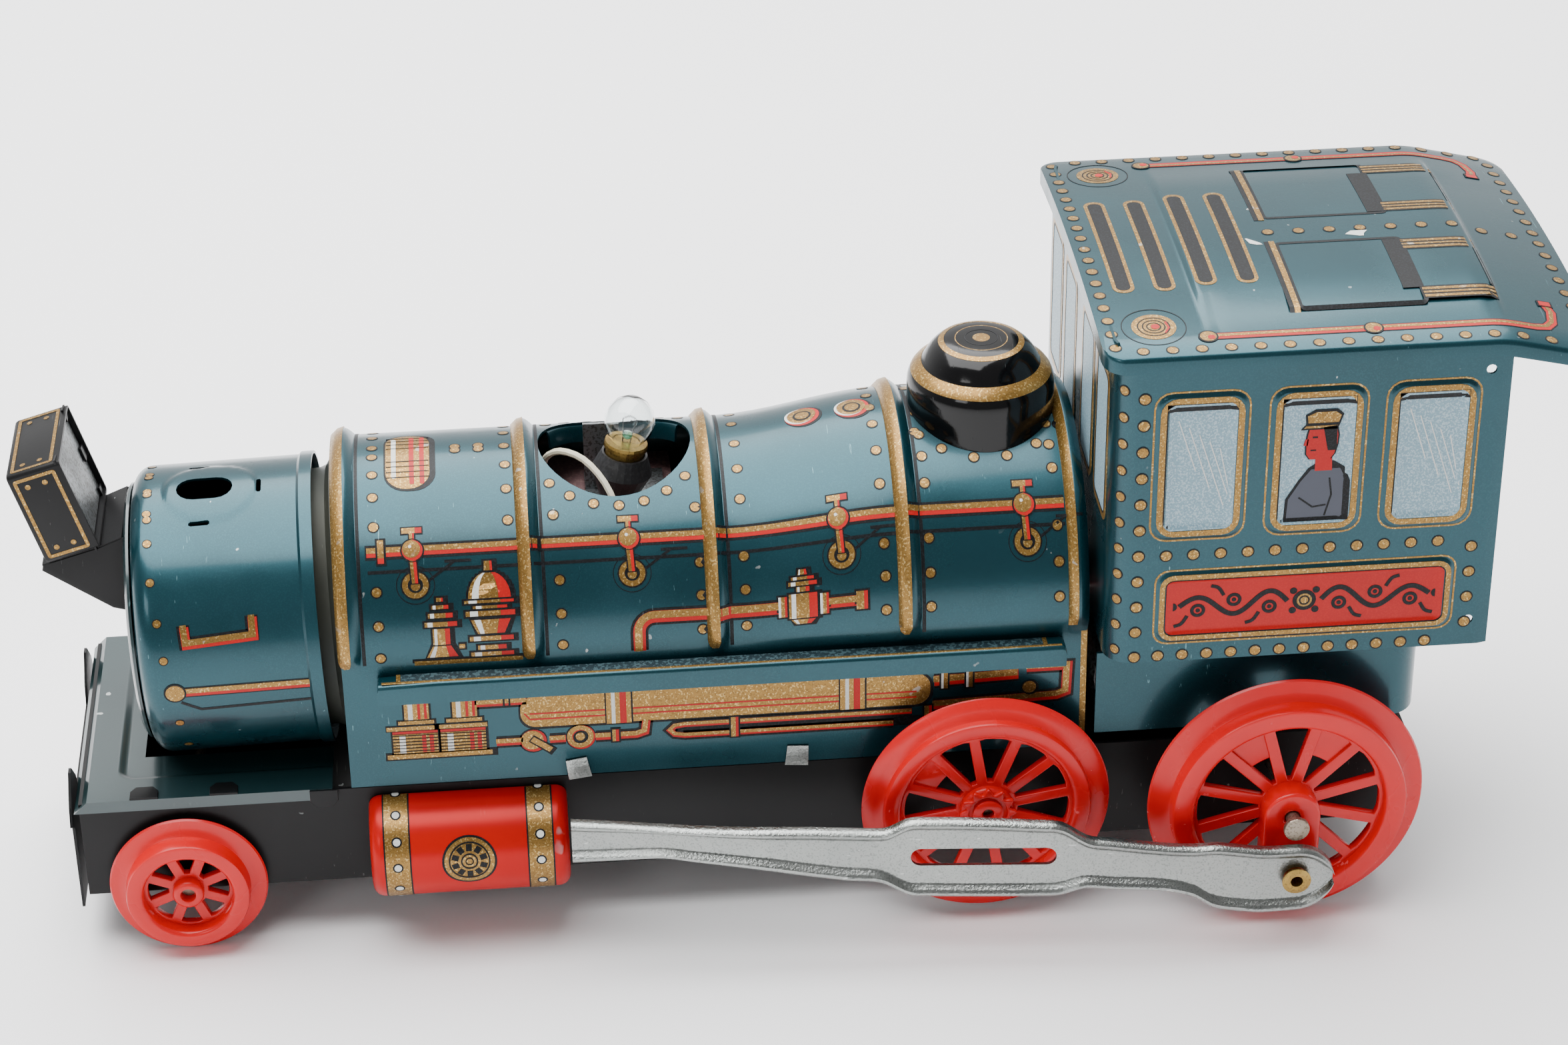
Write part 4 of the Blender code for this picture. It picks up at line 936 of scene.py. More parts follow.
def make_rods():
    for side, sign in SIDES.items():
        rows = []
        for x in stations(ROD_MARKS[0][0], REAR_AXLE[0], 1.3):
            face = min(ROD_FACE_Y, 47.2 + 0.0887 * (x - ROD_MARKS[0][0]))
            rows.append(rod_row(x, through(ROD_MARKS, x, 1), through(ROD_MARKS, x, 2), face, sign))
        for angle in range(10, 90, 10):
            reach = ROD_TIP * math.cos(math.radians(angle))
            rows.append(rod_row(REAR_AXLE[0] + ROD_TIP * math.sin(math.radians(angle)), -reach, reach, ROD_FACE_Y, sign))
        rod = tube_of(f"connecting_rod_skin_{side}", rows, "steel", f"rod_{side}", 30)
        spot = facing_side(sign, 37.2, 55.0, PIN_Z + 6.7)
        cut(rod, throwaway(stadium(31.2, 4.4, 12), -6, 6, spot))
        eye = facing_side(sign, REAR_AXLE[0], ROD_FACE_Y - 2, PIN_Z)
        cut(rod, throwaway(arc(2.6, 0, 345, 23), -6, 6, eye))
        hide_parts(f"connecting_rod_{side}")
        paint(f"crank_eyelet_{side}", "brass")


def spoke_holes(inner, outer, spokes, wide, first):
    holes = []
    for i in range(spokes):
        middle = first + 360 * (i + 0.5) / spokes
        far = 180 / spokes - math.degrees(wide / 2 / outer)
        near = max(180 / spokes - math.degrees(wide / 2 / inner), 2.2)
        hole = arc(outer, middle - far, middle + far, 6)
        hole = [(x * 0.985, y * 0.985) if k in (0, 6) else (x, y) for k, (x, y) in enumerate(hole)]
        holes.append(hole + arc(inner, middle + near, middle - near, 3))
    return holes


def make_wheel(name, sign, axle, body, sizes, faces, spokes, wide, first):
    """Rim, spoked web and hub. sizes: flange, tread, opening, hub radius; faces: distances from the middle."""
    flange, tread, opening, hub = sizes
    back, flange_face, rim_face, web_face, hub_face = faces
    place = facing_side(sign, axle[0], 0, axle[1])
    rim = [(opening + 0.2, back + 0.3), (opening + 0.6, back), (flange - 0.8, back + 0.1), (flange - 0.25, back + 0.3),
           (flange, back + 0.8), (flange - 0.3, back + 1.25), (tread + 2.0, flange_face - 0.1),
           (tread + 0.7, flange_face + 0.25), (tread + 0.1, flange_face + 0.7), (tread, flange_face + 1.3),
           (tread, rim_face - 0.7), (tread - 0.25, rim_face - 0.2), (tread - 0.8, rim_face),
           (opening + 1.1, rim_face), (opening + 0.5, rim_face - 0.2), (opening, rim_face - 0.8),
           (opening - 0.1, web_face - 1.2)]
    made = lathe(f"{name}_rim", rim, "plastic", place, body, 120, True, 40)
    web = Matrix.Translation((0, 0, web_face))
    outlines = [arc(opening + 0.5, 0, 356, 89), *spoke_holes(hub + 0.9, opening - 0.9, spokes, wide, first)]
    outlines.append(arc(1.4, 0, 345, 23))
    pressed(f"{name}_web", outlines, 1.9, 0.35, "plastic", place @ web, body)
    nave = [(1.55, back + 0.6), (hub - 0.4, back + 0.6), (hub, back + 1.0), (hub, hub_face - 0.8),
            (hub - 0.3, hub_face - 0.25), (hub - 0.9, hub_face), (2.2, hub_face), (1.7, hub_face - 0.2), (1.55, hub_face - 0.6)]
    lathe(f"{name}_nave", nave, "plastic", place, body, 64, True, 40)
    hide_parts(name)
    return place


def make_wheels():
    for side, sign in SIDES.items():
        place = make_wheel(f"front_wheel_{side}", sign, FRONT_AXLE, "front_wheelset", (17.0, 13.3, 9.6, 3.4),
                           (33.2, 34.8, 39.4, 36.4, 38.8), 8, 2.3, 22.5)
        place = make_wheel(f"middle_wheel_{side}", sign, MIDDLE_AXLE, "middle_wheelset", (27.1, 22.6, 18.8, 5.9),
                           (38.6, 40.6, 43.0, 41.6, 43.2), 12, 2.4, 9.5)
        star = [(r * math.cos(a), r * math.sin(a)) for r, a in
                ((5.6 + 0.7 * math.cos(12 * a), a) for a in (2 * math.pi * i / 144 for i in range(144)))]
        pressed(f"middle_star_{side}", [star, arc(4.2, 0, 350, 35)], 1.2, 0.4, "plastic",
                place @ Matrix.Translation((0, 0, 44.0)), "middle_wheelset")
        lathe(f"middle_boss_{side}", [(1.2, 43.0), (3.3, 43.0), (3.3, 43.9), (2.9, 44.2), (1.5, 44.2), (1.2, 43.9)],
              "plastic", place, "middle_wheelset", 48, True, 40)
        filled_openings(f"middle_fill_{side}", place, "middle_wheelset", 41.6, (12.2, 18.4), 12, 2.4, 9.5, (4,))
        place = make_wheel(f"rear_wheel_{side}", sign, REAR_AXLE, "rear_wheelset", (30.2, 25.6, 20.8, 5.6),
                           (44.2, 46.2, 50.6, 48.4, 50.6), 12, 2.6, 15.0)
        boss = arc(6.2, 0, 180, 18) + arc(6.2, 180, 360, 18, (0.0, -CRANK_R))
        holes = [arc(1.6, 0, 345, 23)]
        pressed(f"rear_boss_{side}", [boss, *holes], 6.0, 0.8, "plastic", place @ Matrix.Translation((0, 0, 53.5)),
                "rear_wheelset")
        filled_openings(f"rear_fill_{side}", place, "rear_wheelset", 48.4, (13.0, 20.4), 12, 2.6, 15.0, (1, 3))
    for node in ("front_axle", "middle_axle", "rear_axle"):
        paint(node, "axle")


def filled_openings(name, place, body, face, reach, spokes, wide, first, which):
    """Webs moulded across the outer half of some openings."""
    inner, outer = reach
    for i in which:
        middle = first + 360 * (i + 0.5) / spokes
        far = 180 / spokes - math.degrees(wide / 2 / outer) + 1.5
        near = 180 / spokes - math.degrees(wide / 2 / inner) + 2.0
        outline = arc(outer, middle - far, middle + far, 6) + arc(inner, middle + near, middle - near, 4)
        pressed(f"{name}_{i}", [outline], 0.9, 0.2, "plastic", place @ Matrix.Translation((0, 0, face - 0.7)), body)


def make_lamp():
    globe = [(0.0, 14.7), (1.9, 14.35), (3.6, 13.3), (4.9, 11.6), (5.5, 9.4), (5.2, 7.2), (4.3, 5.4), (3.3, 4.2), (2.9, 3.4)]
    globe = [(r, z) for r, z in globe]
    inner = [(max(r - 0.35, 0.0), z - 0.3 * (1 if i < 5 else 0)) for i, (r, z) in enumerate(globe)]
    bulb = lathe("lamp_glass", globe + inner[::-1], "glass", LAMP, steps=64, angle=60)
    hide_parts("lamp_globe")
    bead = [(0, 6.6), (0.9, 6.3), (1.15, 5.6), (0.9, 4.9), (0, 4.6)]
    lathe("lamp_bead", bead, "bead", LAMP, steps=32, angle=60)
    for name, x in (("front", -1), ("rear", 1)):
        rod = [(x * 0.8, 0, 2.6), (x * 0.9, 0, 5.0), (x * 1.1, 0, 7.0), (x * 1.5, 0, 9.4)]
        wire(f"lamp_post_{name}", [LAMP @ Vector(p) for p in smooth_path(rod, 4)], 0.14, "dull")
    coil = []
    for i in range(97):
        turn, along = i * math.pi / 6, i / 96
        coil.append(LAMP @ Vector((-1.5 + 3 * along, 0.22 * math.cos(turn), 9.4 + 0.7 * math.sin(math.pi * along) + 0.22 * math.sin(turn))))
    wire("lamp_filament", coil, 0.05, "dull", sides=6)
    finishes = {"lamp_base": "brass", "lamp_socket": "rubber", "lamp_bracket": "dull", "lamp_wire_white": "ivory",
                "lamp_wire_red": "wire", "battery_board": "fibre"}
    for node, finish in finishes.items():
        paint(node, finish)


def make_inner_parts():
    """CAD nodes whose shape is right and that only need a finish."""
    groups = {
        "black": ("chassis_frame", "pilot_plate", "battery_door", "switch_lever"),
        "dull": ("motor_can", "gearbox_plate_inner", "gearbox_plate_outer"),
        "brass": ("contact_leaf_front", "contact_leaf_rear", "contact_strip"),
        "nylon": ("axle_gear", "idler_gear", "motor_pinion"),
        "jacket": ("battery_cell_front", "battery_cell_rear"),
        "inside": ("battery_wall_front", "battery_wall_rear"),
    }
    for finish, nodes in groups.items():
        for node in nodes:
            paint(node, finish)
    foot = BOILER_LOW[2]
    for side, sign in SIDES.items():
        for i, (x, lean) in enumerate(((-48.2, 0.12), (-0.9, -0.1))):
            tab = [(-2.4, 2.6), (-2.5, -2.4), (2.6, -2.3), (2.2, 2.8)]
            spot = facing_side(sign, x, BOILER_HALF + 0.55, foot + 1.6) @ Matrix.Rotation(lean, 4, "Z")
            pressed(f"shell_tab_{side}_{i}", [tab], 0.4, 0.1, "steel", spot)


# Printing: ink lies in thin layers on a surface -------------------------------------------


class Print:
    """The lithography of one surface: closed thin shapes in (u, v), one piece for each ink."""

    def __init__(self, name, surface, sides=("left", "right"), body="frame"):
        self.name, self.surface, self.sides, self.body = name, surface, sides, body
        self.inks = {}

    def slab(self, ink, points, faces, layer):
        """A layer of ink: a top skin, its underside just inside the sheet, and its edges."""
        verts, made = self.inks.setdefault(ink, ([], []))
        edges = {}
        for face in faces:
            for a, b in zip(face, face[1:] + face[:1]):
                edges[(a, b)] = edges.get((a, b), 0) + 1
        rim = [(a, b) for a, b in edges if (b, a) not in edges]
        count = len(points)
        for side in self.sides:
            start = len(verts)
            for lift in (0.06 + 0.035 * layer, -0.12):
                verts.extend(self.surface(u, v, lift, SIDES[side]) for u, v in points)
            made.extend(tuple(start + i for i in face) for face in faces)
            made.extend(tuple(start + count + i for i in reversed(face)) for face in faces)
            made.extend((start + b, start + a, start + count + a, start + count + b) for a, b in rim)

    def rows(self, ink, rows, layer, loop=False):
        cols = len(rows[0])
        pairs = list(zip(range(len(rows)), range(1, len(rows)))) + ([(len(rows) - 1, 0)] if loop else [])
        faces = [(i * cols + j, k * cols + j, k * cols + j + 1, i * cols + j + 1) for i, k in pairs for j in range(cols - 1)]
        self.slab(ink, [p for row in rows for p in row], faces, layer)

    def stroke(self, ink, path, width, layer, loop=False):
        """A line of ink through points."""
        ends = list(path) + [path[0]] if loop else list(path)
        points = [Vector(ends[0])]
        for a, b in zip(ends, ends[1:]):
            a, b = Vector(a), Vector(b)
            count = max(1, math.ceil((b - a).length / 1.1))
            points += [a.lerp(b, i / count) for i in range(1, count + 1)]
        if loop:
            points.pop()
        rows, count, many = [], len(points), max(1, math.ceil(width / 1.8))
        for i, p in enumerate(points):
            before = points[i - 1] if loop or i else None
            after = points[(i + 1) % count] if loop or i < count - 1 else None
            first = (p - before).normalized() if before else (after - p).normalized()
            second = (after - p).normalized() if after else first
            along = (first + second).normalized() if (first + second).length > 1e-6 else first
            across = Vector((-along.y, along.x)) / max(along.dot(first), 0.5)
            rows.append([tuple(p + across * width * (j / many - 0.5)) for j in range(many + 1)])
        self.rows(ink, rows, layer, loop)

    def area(self, ink, marks, layer):
        """A shape given as rows of (v, from u, to u)."""
        rows, widest = [], max(abs(m[2] - m[1]) for m in marks)
        many = max(1, math.ceil(widest / 1.8))
        for a, b in zip(marks, marks[1:]):
            count = max(1, math.ceil(abs(b[0] - a[0]) / 1.1))
            steps = range(count) if b is not marks[-1] else range(count + 1)
            for i in steps:
                v, u0, u1 = (p + (q - p) * i / count for p, q in zip(a, b))
                rows.append([(u0 + (u1 - u0) * j / many, v) for j in range(many + 1)])
        self.rows(ink, rows, layer)

    def box(self, ink, u0, v0, u1, v1, layer, corner=0.0):
        """A filled box, with round corners where it has any."""
        if not corner:
            return self.area(ink, [(v0, u0, u1), (v1, u0, u1)], layer)
        marks = []
        for angle in range(0, 91, 15):
            inset, reach = corner * (1 - math.sin(math.radians(angle))), corner * (1 - math.cos(math.radians(angle)))
            marks.append((v0 + reach, u0 + inset, u1 - inset))
        marks += [(v0 + v1 - v, a, b) for v, a, b in reversed(marks)]
        return self.area(ink, marks, layer)

    def frame(self, ink, box, width, layer, corner=1.2):
        u0, v0, u1, v1 = box
        path = []
        for u, v, start in ((u1 - corner, v1 - corner, 0), (u0 + corner, v1 - corner, 90),
                            (u0 + corner, v0 + corner, 180), (u1 - corner, v0 + corner, 270)):
            path += arc(corner, start, start + 90, 4, (u, v))
        self.stroke(ink, path, width, layer, True)

    def dot(self, ink, u, v, radius, layer, steps=14):
        points, faces, rings = [(u, v)], [], (0.5, 1.0) if radius > 1.6 else (1.0,)
        for share in rings:
            points += [(u + radius * share * math.cos(2 * math.pi * i / steps),
                        v + radius * share * math.sin(2 * math.pi * i / steps)) for i in range(steps)]
        faces += [(0, 1 + i, 1 + (i + 1) % steps) for i in range(steps)]
        if len(rings) == 2:
            faces += [(1 + i, 1 + steps + i, 1 + steps + (i + 1) % steps, 1 + (i + 1) % steps) for i in range(steps)]
        self.slab(ink, points, faces, layer)

    def ring(self, ink, u, v, radius, width, layer, steps=28):
        self.stroke(ink, arc(radius, 0, 360 - 360 / steps, steps - 1, (u, v)), width, layer, True)

    def rivet(self, u, v, radius=1.0):
        self.dot("ink", u, v, radius + 0.3, 0)
        self.dot("gold", u, v, radius, 1)

    def tiers(self, middle, marks):
        """A fitting drawn as stacked tiers: (from v, to v, half width below, half width above)."""
        for v0, v1, low, high in marks:
            self.area("ink", [(v0 - 0.4, middle - low - 0.45, middle + low + 1.1),
                              (v1 + 0.4, middle - high - 0.45, middle + high + 1.1)], 0)
        for v0, v1, low, high in marks:
            self.area("red", [(v0, middle - low, middle + low), (v1, middle - high, middle + high)], 1)
            self.area("gold", [(v0, middle - low, middle + low * 0.42), (v1, middle - high, middle + high * 0.42)], 2)
            if low > 0.9:
                self.area("white", [(v0, middle - low * 0.82, middle - low * 0.5),
                                    (v1, middle - high * 0.82, middle - high * 0.5)], 3)

    def pipe(self, path, width, layer=1):
        """A gold pipe with a red underside and a dark outline."""
        self.stroke("ink", path, width + 1.15, layer - 1)
        self.stroke("red", path, width, layer)
        shift = width * 0.17
        self.stroke("gold", [(u - shift * 0.4, v + shift) for u, v in path], width * 0.62, layer + 1)

    def done(self):
        for ink, (verts, faces) in self.inks.items():
            solid(f"{self.name}_{ink}", verts, faces, ink, self.body, 50)


RAIL_S = 24.5
VALVES = (-80.7, -35.2, 9.0, 48.4)


def print_handrail(art, front, rear):
    art.stroke("ink", [(front, RAIL_S - 0.1), (rear, RAIL_S - 0.1)], 3.2, 0)
    art.stroke("red", [(front + 0.3, RAIL_S - 0.65), (rear, RAIL_S - 0.65)], 0.9, 1)
    art.stroke("gold", [(front + 0.3, RAIL_S + 0.35), (rear, RAIL_S + 0.35)], 1.15, 2)
    art.area("ink", [(RAIL_S - 2.9, front + 2.2, front + 4.4), (RAIL_S + 2.9, front + 2.2, front + 4.4)], 3)
    art.area("gold", [(RAIL_S - 1.4, front + 2.6, front + 3.9), (RAIL_S + 2.5, front + 2.6, front + 3.9)], 4)
    art.area("red", [(RAIL_S - 2.5, front + 2.6, front + 3.9), (RAIL_S - 1.3, front + 2.6, front + 3.9)], 4)
    art.stroke("ink", [(front + 0.4, RAIL_S - 4.3), (rear, RAIL_S - 4.3)], 0.7, 0)
    for x in VALVES:
        s = RAIL_S
        art.ring("ink", x + 0.3, s - 7.4, 4.0, 0.16, 0)
        art.dot("ink", x + 0.3, s - 7.4, 3.15, 0)
        art.ring("gold", x + 0.3, s - 7.4, 2.2, 1.15, 1)
        art.dot("gold", x + 0.3, s - 7.6, 1.0, 1)
        art.area("ink", [(s - 7.2, x - 0.7, x + 1.2), (s, x - 1.1, x + 0.9)], 2)
        art.area("gold", [(s - 7.0, x - 0.4, x + 0.3), (s, x - 0.8, x - 0.1)], 3)
        art.area("red", [(s - 7.0, x + 0.3, x + 0.9), (s, x - 0.1, x + 0.6)], 3)
        art.box("ink", x - 0.8, s + 1.8, x + 0.8, s + 3.8, 2)
        art.box("gold", x - 0.5, s + 1.8, x + 0.1, s + 3.8, 3)
        art.box("red", x + 0.1, s + 1.8, x + 0.5, s + 3.8, 3)
        art.box("ink", x - 2.4, s + 3.4, x + 2.4, s + 5.2, 2)
        art.box("gold", x - 2.1, s + 3.7, x + 0.7, s + 4.9, 3)
        art.box("red", x + 0.7, s + 3.7, x + 2.1, s + 4.9, 3)
        art.dot("ink", x, s, 2.55, 3, 20)
        art.dot("red", x, s, 2.2, 4, 20)
        art.dot("gold", x - 0.22, s + 0.28, 1.88, 5, 20)
        art.dot("white", x - 0.5, s + 0.8, 0.34, 6, 10)
        art.stroke("ink", [(x + 3.1, s - 6.6), (x + 8.6, s - 2.8)], 0.55, 1)
        art.stroke("ink", [(x + 6.6, s - 2.7), (x + 12.2, s - 2.7)], 0.6, 1)


def print_fittings(art):
    """The whistle, the bell, and the plate that they stand on."""
    art.tiers(-75.6, ((1.0, 3.6, 3.3, 1.9), (3.9, 7.5, 1.8, 1.8), (8.0, 9.0, 3.4, 3.4), (9.9, 10.9, 2.6, 2.6),
                      (11.8, 12.6, 1.8, 1.8), (13.4, 14.2, 0.7, 0.7)))
    art.box("ink", -72.2, 2.4, -70.4, 4.2, 0)
    art.box("gold", -72.0, 2.8, -70.8, 3.8, 2)
    dome = [(13.6 + 5.6 * math.sin(math.radians(a)), 4.5 * math.cos(math.radians(a))) for a in range(0, 76, 12)]
    art.tiers(-65.1, ((0.7, 1.6, 4.5, 4.5), (2.2, 3.2, 3.0, 3.0), (4.3, 5.3, 4.6, 4.6), (5.9, 9.0, 2.8, 4.2),
                      (9.8, 10.9, 5.2, 5.2), (11.4, 12.0, 3.6, 3.6), (12.6, 13.2, 5.4, 5.4),
                      *((a[0], b[0], a[1], b[1]) for a, b in zip(dome, dome[1:])), (19.4, 21.4, 0.9, 0.8)))
    art.area("ink", [(-1.2, -82.0, -58.4), (0.7, -82.0, -58.4)], 0)
    art.area("gold", [(-0.8, -81.6, -58.8), (0.2, -81.6, -58.8)], 4)


def print_oval_tank(art):
    x0, x1, s0, s1 = -85.7, -76.4, 38.9, 59.2
    art.box("ink", x0 - 0.4, s0 - 0.6, x1 + 1.3, s1 + 0.5, 0, 4.8)
    art.box("gold", x0, s0, x1, s1, 1, 4.4)
    art.box("white", x0 + 1.2, s0 + 3.0, x0 + 2.2, s1 - 2.2, 2, 0.5)
    for x in (x0 + 5.0, x0 + 7.2):
        art.box("red", x, s0 + 1.2, x + 1.0, s1 - 1.2, 2, 0.4)
    for s in (42.2, 43.8, 45.5, 47.2, 52.4, 54.2, 56.0, 57.6):
        art.stroke("ink", [(x0 + 0.1, s), (x1 - 0.1, s)], 0.22, 3)


def print_pipework(art):
    turn = arc(3.4, 180, 90, 6, (-30.6, 4.1))
    art.pipe([(-34.0, -0.9), *turn, (-3.6, 7.5)], 2.6)
    art.pipe([(4.6, 7.5), (13.2, 7.5)], 2.2)
    art.box("ink", 11.6, 5.2, 14.9, 9.8, 1)
    art.box("gold", 12.0, 5.6, 13.6, 9.4, 3)
    art.box("red", 13.6, 5.6, 14.4, 9.4, 3)
    for x in (-3.6, 5.2):
        art.box("ink", x - 1.2, 5.0, x + 1.4, 10.2, 1)
        art.box("white", x - 0.8, 5.4, x - 0.3, 9.8, 3)
        art.box("gold", x - 0.3, 5.4, x + 0.5, 9.8, 3)
        art.box("red", x + 0.5, 5.4, x + 1.0, 9.8, 3)
    art.tiers(0.8, ((3.6, 4.6, 1.6, 2.6), (4.9, 10.2, 3.0, 3.0), (10.6, 11.6, 1.4, 1.4), (11.9, 12.7, 3.0, 3.0),
                    (13.1, 13.7, 2.4, 2.4), (14.1, 15.2, 1.0, 0.8)))


def print_ports(art):
    for x, s in ((3.9, 53.0), (14.6, 52.4)):
        for ring_s in (s,):
            art.dot("ink", x + 0.3, ring_s - 0.2, 4.1, 0, 28)
            art.dot("red", x, ring_s, 3.75, 1, 28)
            art.dot("white", x - 0.45, ring_s + 0.2, 3.3, 2, 28)
            art.dot("gold", x - 0.1, ring_s + 0.3, 3.1, 3, 28)
            art.dot("ink", x, ring_s, 2.0, 4, 20)
            art.dot("gold", x, ring_s, 1.5, 5, 20)


def print_boiler():
    art = Print("boiler", boiler)
    for front, rear in BEADS[:4]:
        rows = [(-0.8, front + 1.2, front + 2.2), (0.0, front + 0.4, front + 2.5), (1.4, front, front + 2.7),
                (TOP, front, front + 2.7)]
        art.area("gold", rows, 7)
        art.stroke("ink", [(rear + 0.5, -0.6), (rear + 0.5, TOP)], 0.75, 0)
    front, rear = BEADS[4]
    art.area("gold", [(-0.8, front, front + 1.9), (TOP, front, front + 1.9)], 7)
    print_handrail(art, -90.6, BEADS[4][0] - 0.3)
    print_fittings(art)
    print_pipework(art)
    columns = {
        -88.6: (49.4, 43.4, 37.1, 30.0, 16.0, 8.7, 1.4), -60.4: (51.4, 44.5, 37.6, 30.0),
        -50.2: (16.5, 9.3, 2.2), -20.5: (18.6, 11.6, 4.0), -11.2: (47.1, 39.4, 31.8, 19.3, 12.2, 4.2),
        18.3: (51.2, 45.5, 38.2, 30.5, 18.4, 11.9, 4.9), 27.8: (48.0, 41.4, 36.0, 30.0, 18.9, 12.0, 5.0),
        55.2: (48.0, 42.6, 37.2, 31.8, 20.0, 12.8, 5.6),
    }
    for x, heights in columns.items():
        for s in heights:
            art.rivet(x, s)
    for s in (30.6,):
        art.rivet(-50.8, s)
        art.rivet(-20.8, s)
    for x in (-70.9, -65.9):
        art.rivet(x, 50.6)
    for k in range(7):
        turn = math.radians(-42 - 16 * k)
        art.rivet(LAMP_HOLE[0] + 19.4 * math.cos(turn), TOP + 19.4 * math.sin(turn))
    for k in range(6):
        turn = math.radians(-38 - 20.8 * k)
        art.rivet(DOME_X + 19.6 * math.cos(turn), TOP + 3.0 + 19.6 * math.sin(turn))
    art.done()
    top = Print("boiler_top", boiler, ("left",))
    print_oval_tank(top)
    print_ports(top)
    top.done()


def print_panel():
    art = Print("panel", panel)
    art.stroke("gold", [(61.0, 68.6), (61.2, BOILER_LOW[2] + 0.4)], 1.3, 0)
    base, head = 45.6, 57.6
    art.box("ink", -89.2, base - 0.4, -65.2, base + 1.6, 0)
    art.box("gold", -88.8, base, -66.4, base + 1.1, 2)
    for x in (-87.4, -77.2):
        wide = 9.6
        art.box("ink", x - 0.4, base, x + wide + 0.6, base + 7.2, 0)
        art.box("ink", x + 1.0, base + 8.4, x + wide - 0.1, base + 9.9, 0)
        art.box("ink", x + 2.4, base + 9.8, x + wide - 1.1, head + 3.2, 0)
        art.box("gold", x, base + 1.4, x + wide, base + 6.2, 1)
        for k in range(6):
            art.stroke("ink", [(x, base + 1.9 + 0.8 * k), (x + wide, base + 1.9 + 0.8 * k)], 0.18, 4)
        art.box("white", x + 1.4, base + 1.5, x + 2.7, base + 6.0, 3)
        for reach in (6.2, 7.8):
            art.box("red", x + reach, base + 1.5, x + reach + 0.9, base + 6.0, 3)
        art.box("red", x, base + 6.4, x + wide, base + 7.0, 2)
        art.box("gold", x - 1.2, base + 7.2, x + wide + 0.4, base + 8.2, 2)
        art.box("ink", x - 1.4, base + 7.0, x + wide + 0.6, base + 8.5, 1)
        art.box("gold", x + 1.4, base + 8.7, x + wide - 0.6, base + 9.6, 2)
        art.box("gold", x + 2.8, base + 9.9, x + wide - 1.6, head + 3.2, 2)
        art.box("white", x + 3.6, base + 9.9, x + 4.6, head + 3.2, 3)
        for reach in (5.6, 7.0):
            art.box("red", x + reach, base + 10.0, x + reach + 0.6, head + 3.2, 3)
    art.pipe([(-70.0, 58.6), (-58.6, 58.6)], 1.7)
    for x in (-63.6, -62.4):
        art.box("ink", x, 57.4, x + 0.4, 59.8, 4)
    print_tank(art)
    art.pipe([(-65.4, 48.4), (-59.6, 48.4)], 1.8)
    art.dot("ink", -57.6, 48.3, 3.1, 0, 20)
    art.dot("red", -57.5, 48.3, 2.8, 1, 20)
    art.dot("gold", -57.8, 48.5, 2.4, 2, 20)
    art.stroke("ink", [(-58.0, 49.0), (-53.2, 45.2)], 2.0, 3)
    art.stroke("gold", [(-57.8, 48.8), (-53.8, 45.8)], 1.3, 4)
    art.pipe([(-54.0, 48.4), (-50.6, 48.4)], 1.8)
    art.dot("ink", -47.4, 48.6, 3.3, 0, 24)
    art.ring("red", -47.3, 48.5, 2.4, 1.3, 1)
    art.ring("gold", -47.5, 48.7, 2.3, 1.1, 2)
    art.dot("gold", -47.5, 48.7, 1.0, 2)
    art.pipe([(-44.2, 48.4), (-35.4, 48.4), (-33.6, 49.0), (-33.2, 52.0)], 1.8)
    art.box("ink", -41.0, 46.6, -38.8, 50.4, 3)
    art.box("gold", -40.6, 47.0, -39.9, 50.0, 4)
    art.box("red", -39.9, 47.0, -39.2, 50.0, 4)
    print_long_pipes(art)
    art.done()


def print_tank(art):
    """The long air tank, with rounded ends and two straps."""
    low, high = 51.8, 59.8
    art.box("ink", -60.4, low - 0.6, 28.6, high + 0.3, 0, 3.6)
    art.box("gold", -60.0, low, 28.0, high, 1, 3.4)
    for v in (low + 2.0, low + 3.4):
        art.stroke("red", [(-58.0, v), (25.0, v)], 0.4, 2)
    art.stroke("red", [(-59.2, low + 3.6), (-58.0, low + 2.0)], 0.35, 2)
    for x in (-42.0, 8.2):
        for k, (ink, wide) in enumerate((("ink", 0.3), ("gold", 1.1), ("white", 0.8), ("gold", 1.0), ("red", 1.4),
                                         ("gold", 1.0), ("ink", 0.4))):
            start = x + sum((0.3, 1.1, 0.8, 1.0, 1.4, 1.0, 0.4)[:k])
            art.box(ink, start, low - 0.2, start + wide, high, 3)


def print_long_pipes(art):
    art.stroke("ink", [(27.0, 47.8), (-25.4, 47.8)], 2.3, 0)
    art.pipe([(24.0, 50.2), (-25.0, 50.2), (-27.2, 49.9), (-28.2, 48.9), (-27.2, 47.8), (-25.0, 47.4), (20.0, 47.4)], 1.3)
    for x in (-14.3, 27.5):
        art.box("ink", x - 1.2, 46.0, x + 1.2, 51.8, 3)
        art.box("gold", x - 0.8, 46.4, x + 0.2, 51.4, 4)
        art.box("red", x + 0.2, 46.4, x + 0.8, 51.4, 4)
    art.pipe([(28.8, 57.6), (47.0, 58.2)], 2.6)
    for x in (31.0, 36.4):
        art.box("ink", x - 1.1, 55.2, x + 1.1, 60.6, 3)
        art.box("white", x - 0.7, 55.6, x - 0.2, 60.2, 4)
        art.box("gold", x - 0.2, 55.6, x + 0.7, 60.2, 4)
    art.pipe([(28.6, 51.4), (55.4, 52.2), (57.4, 53.0), (57.6, 59.6), (48.8, 59.6)], 2.2)
    art.dot("ink", 49.6, 54.6, 1.9, 3, 16)
    art.dot("gold", 49.4, 54.7, 1.5, 4, 16)


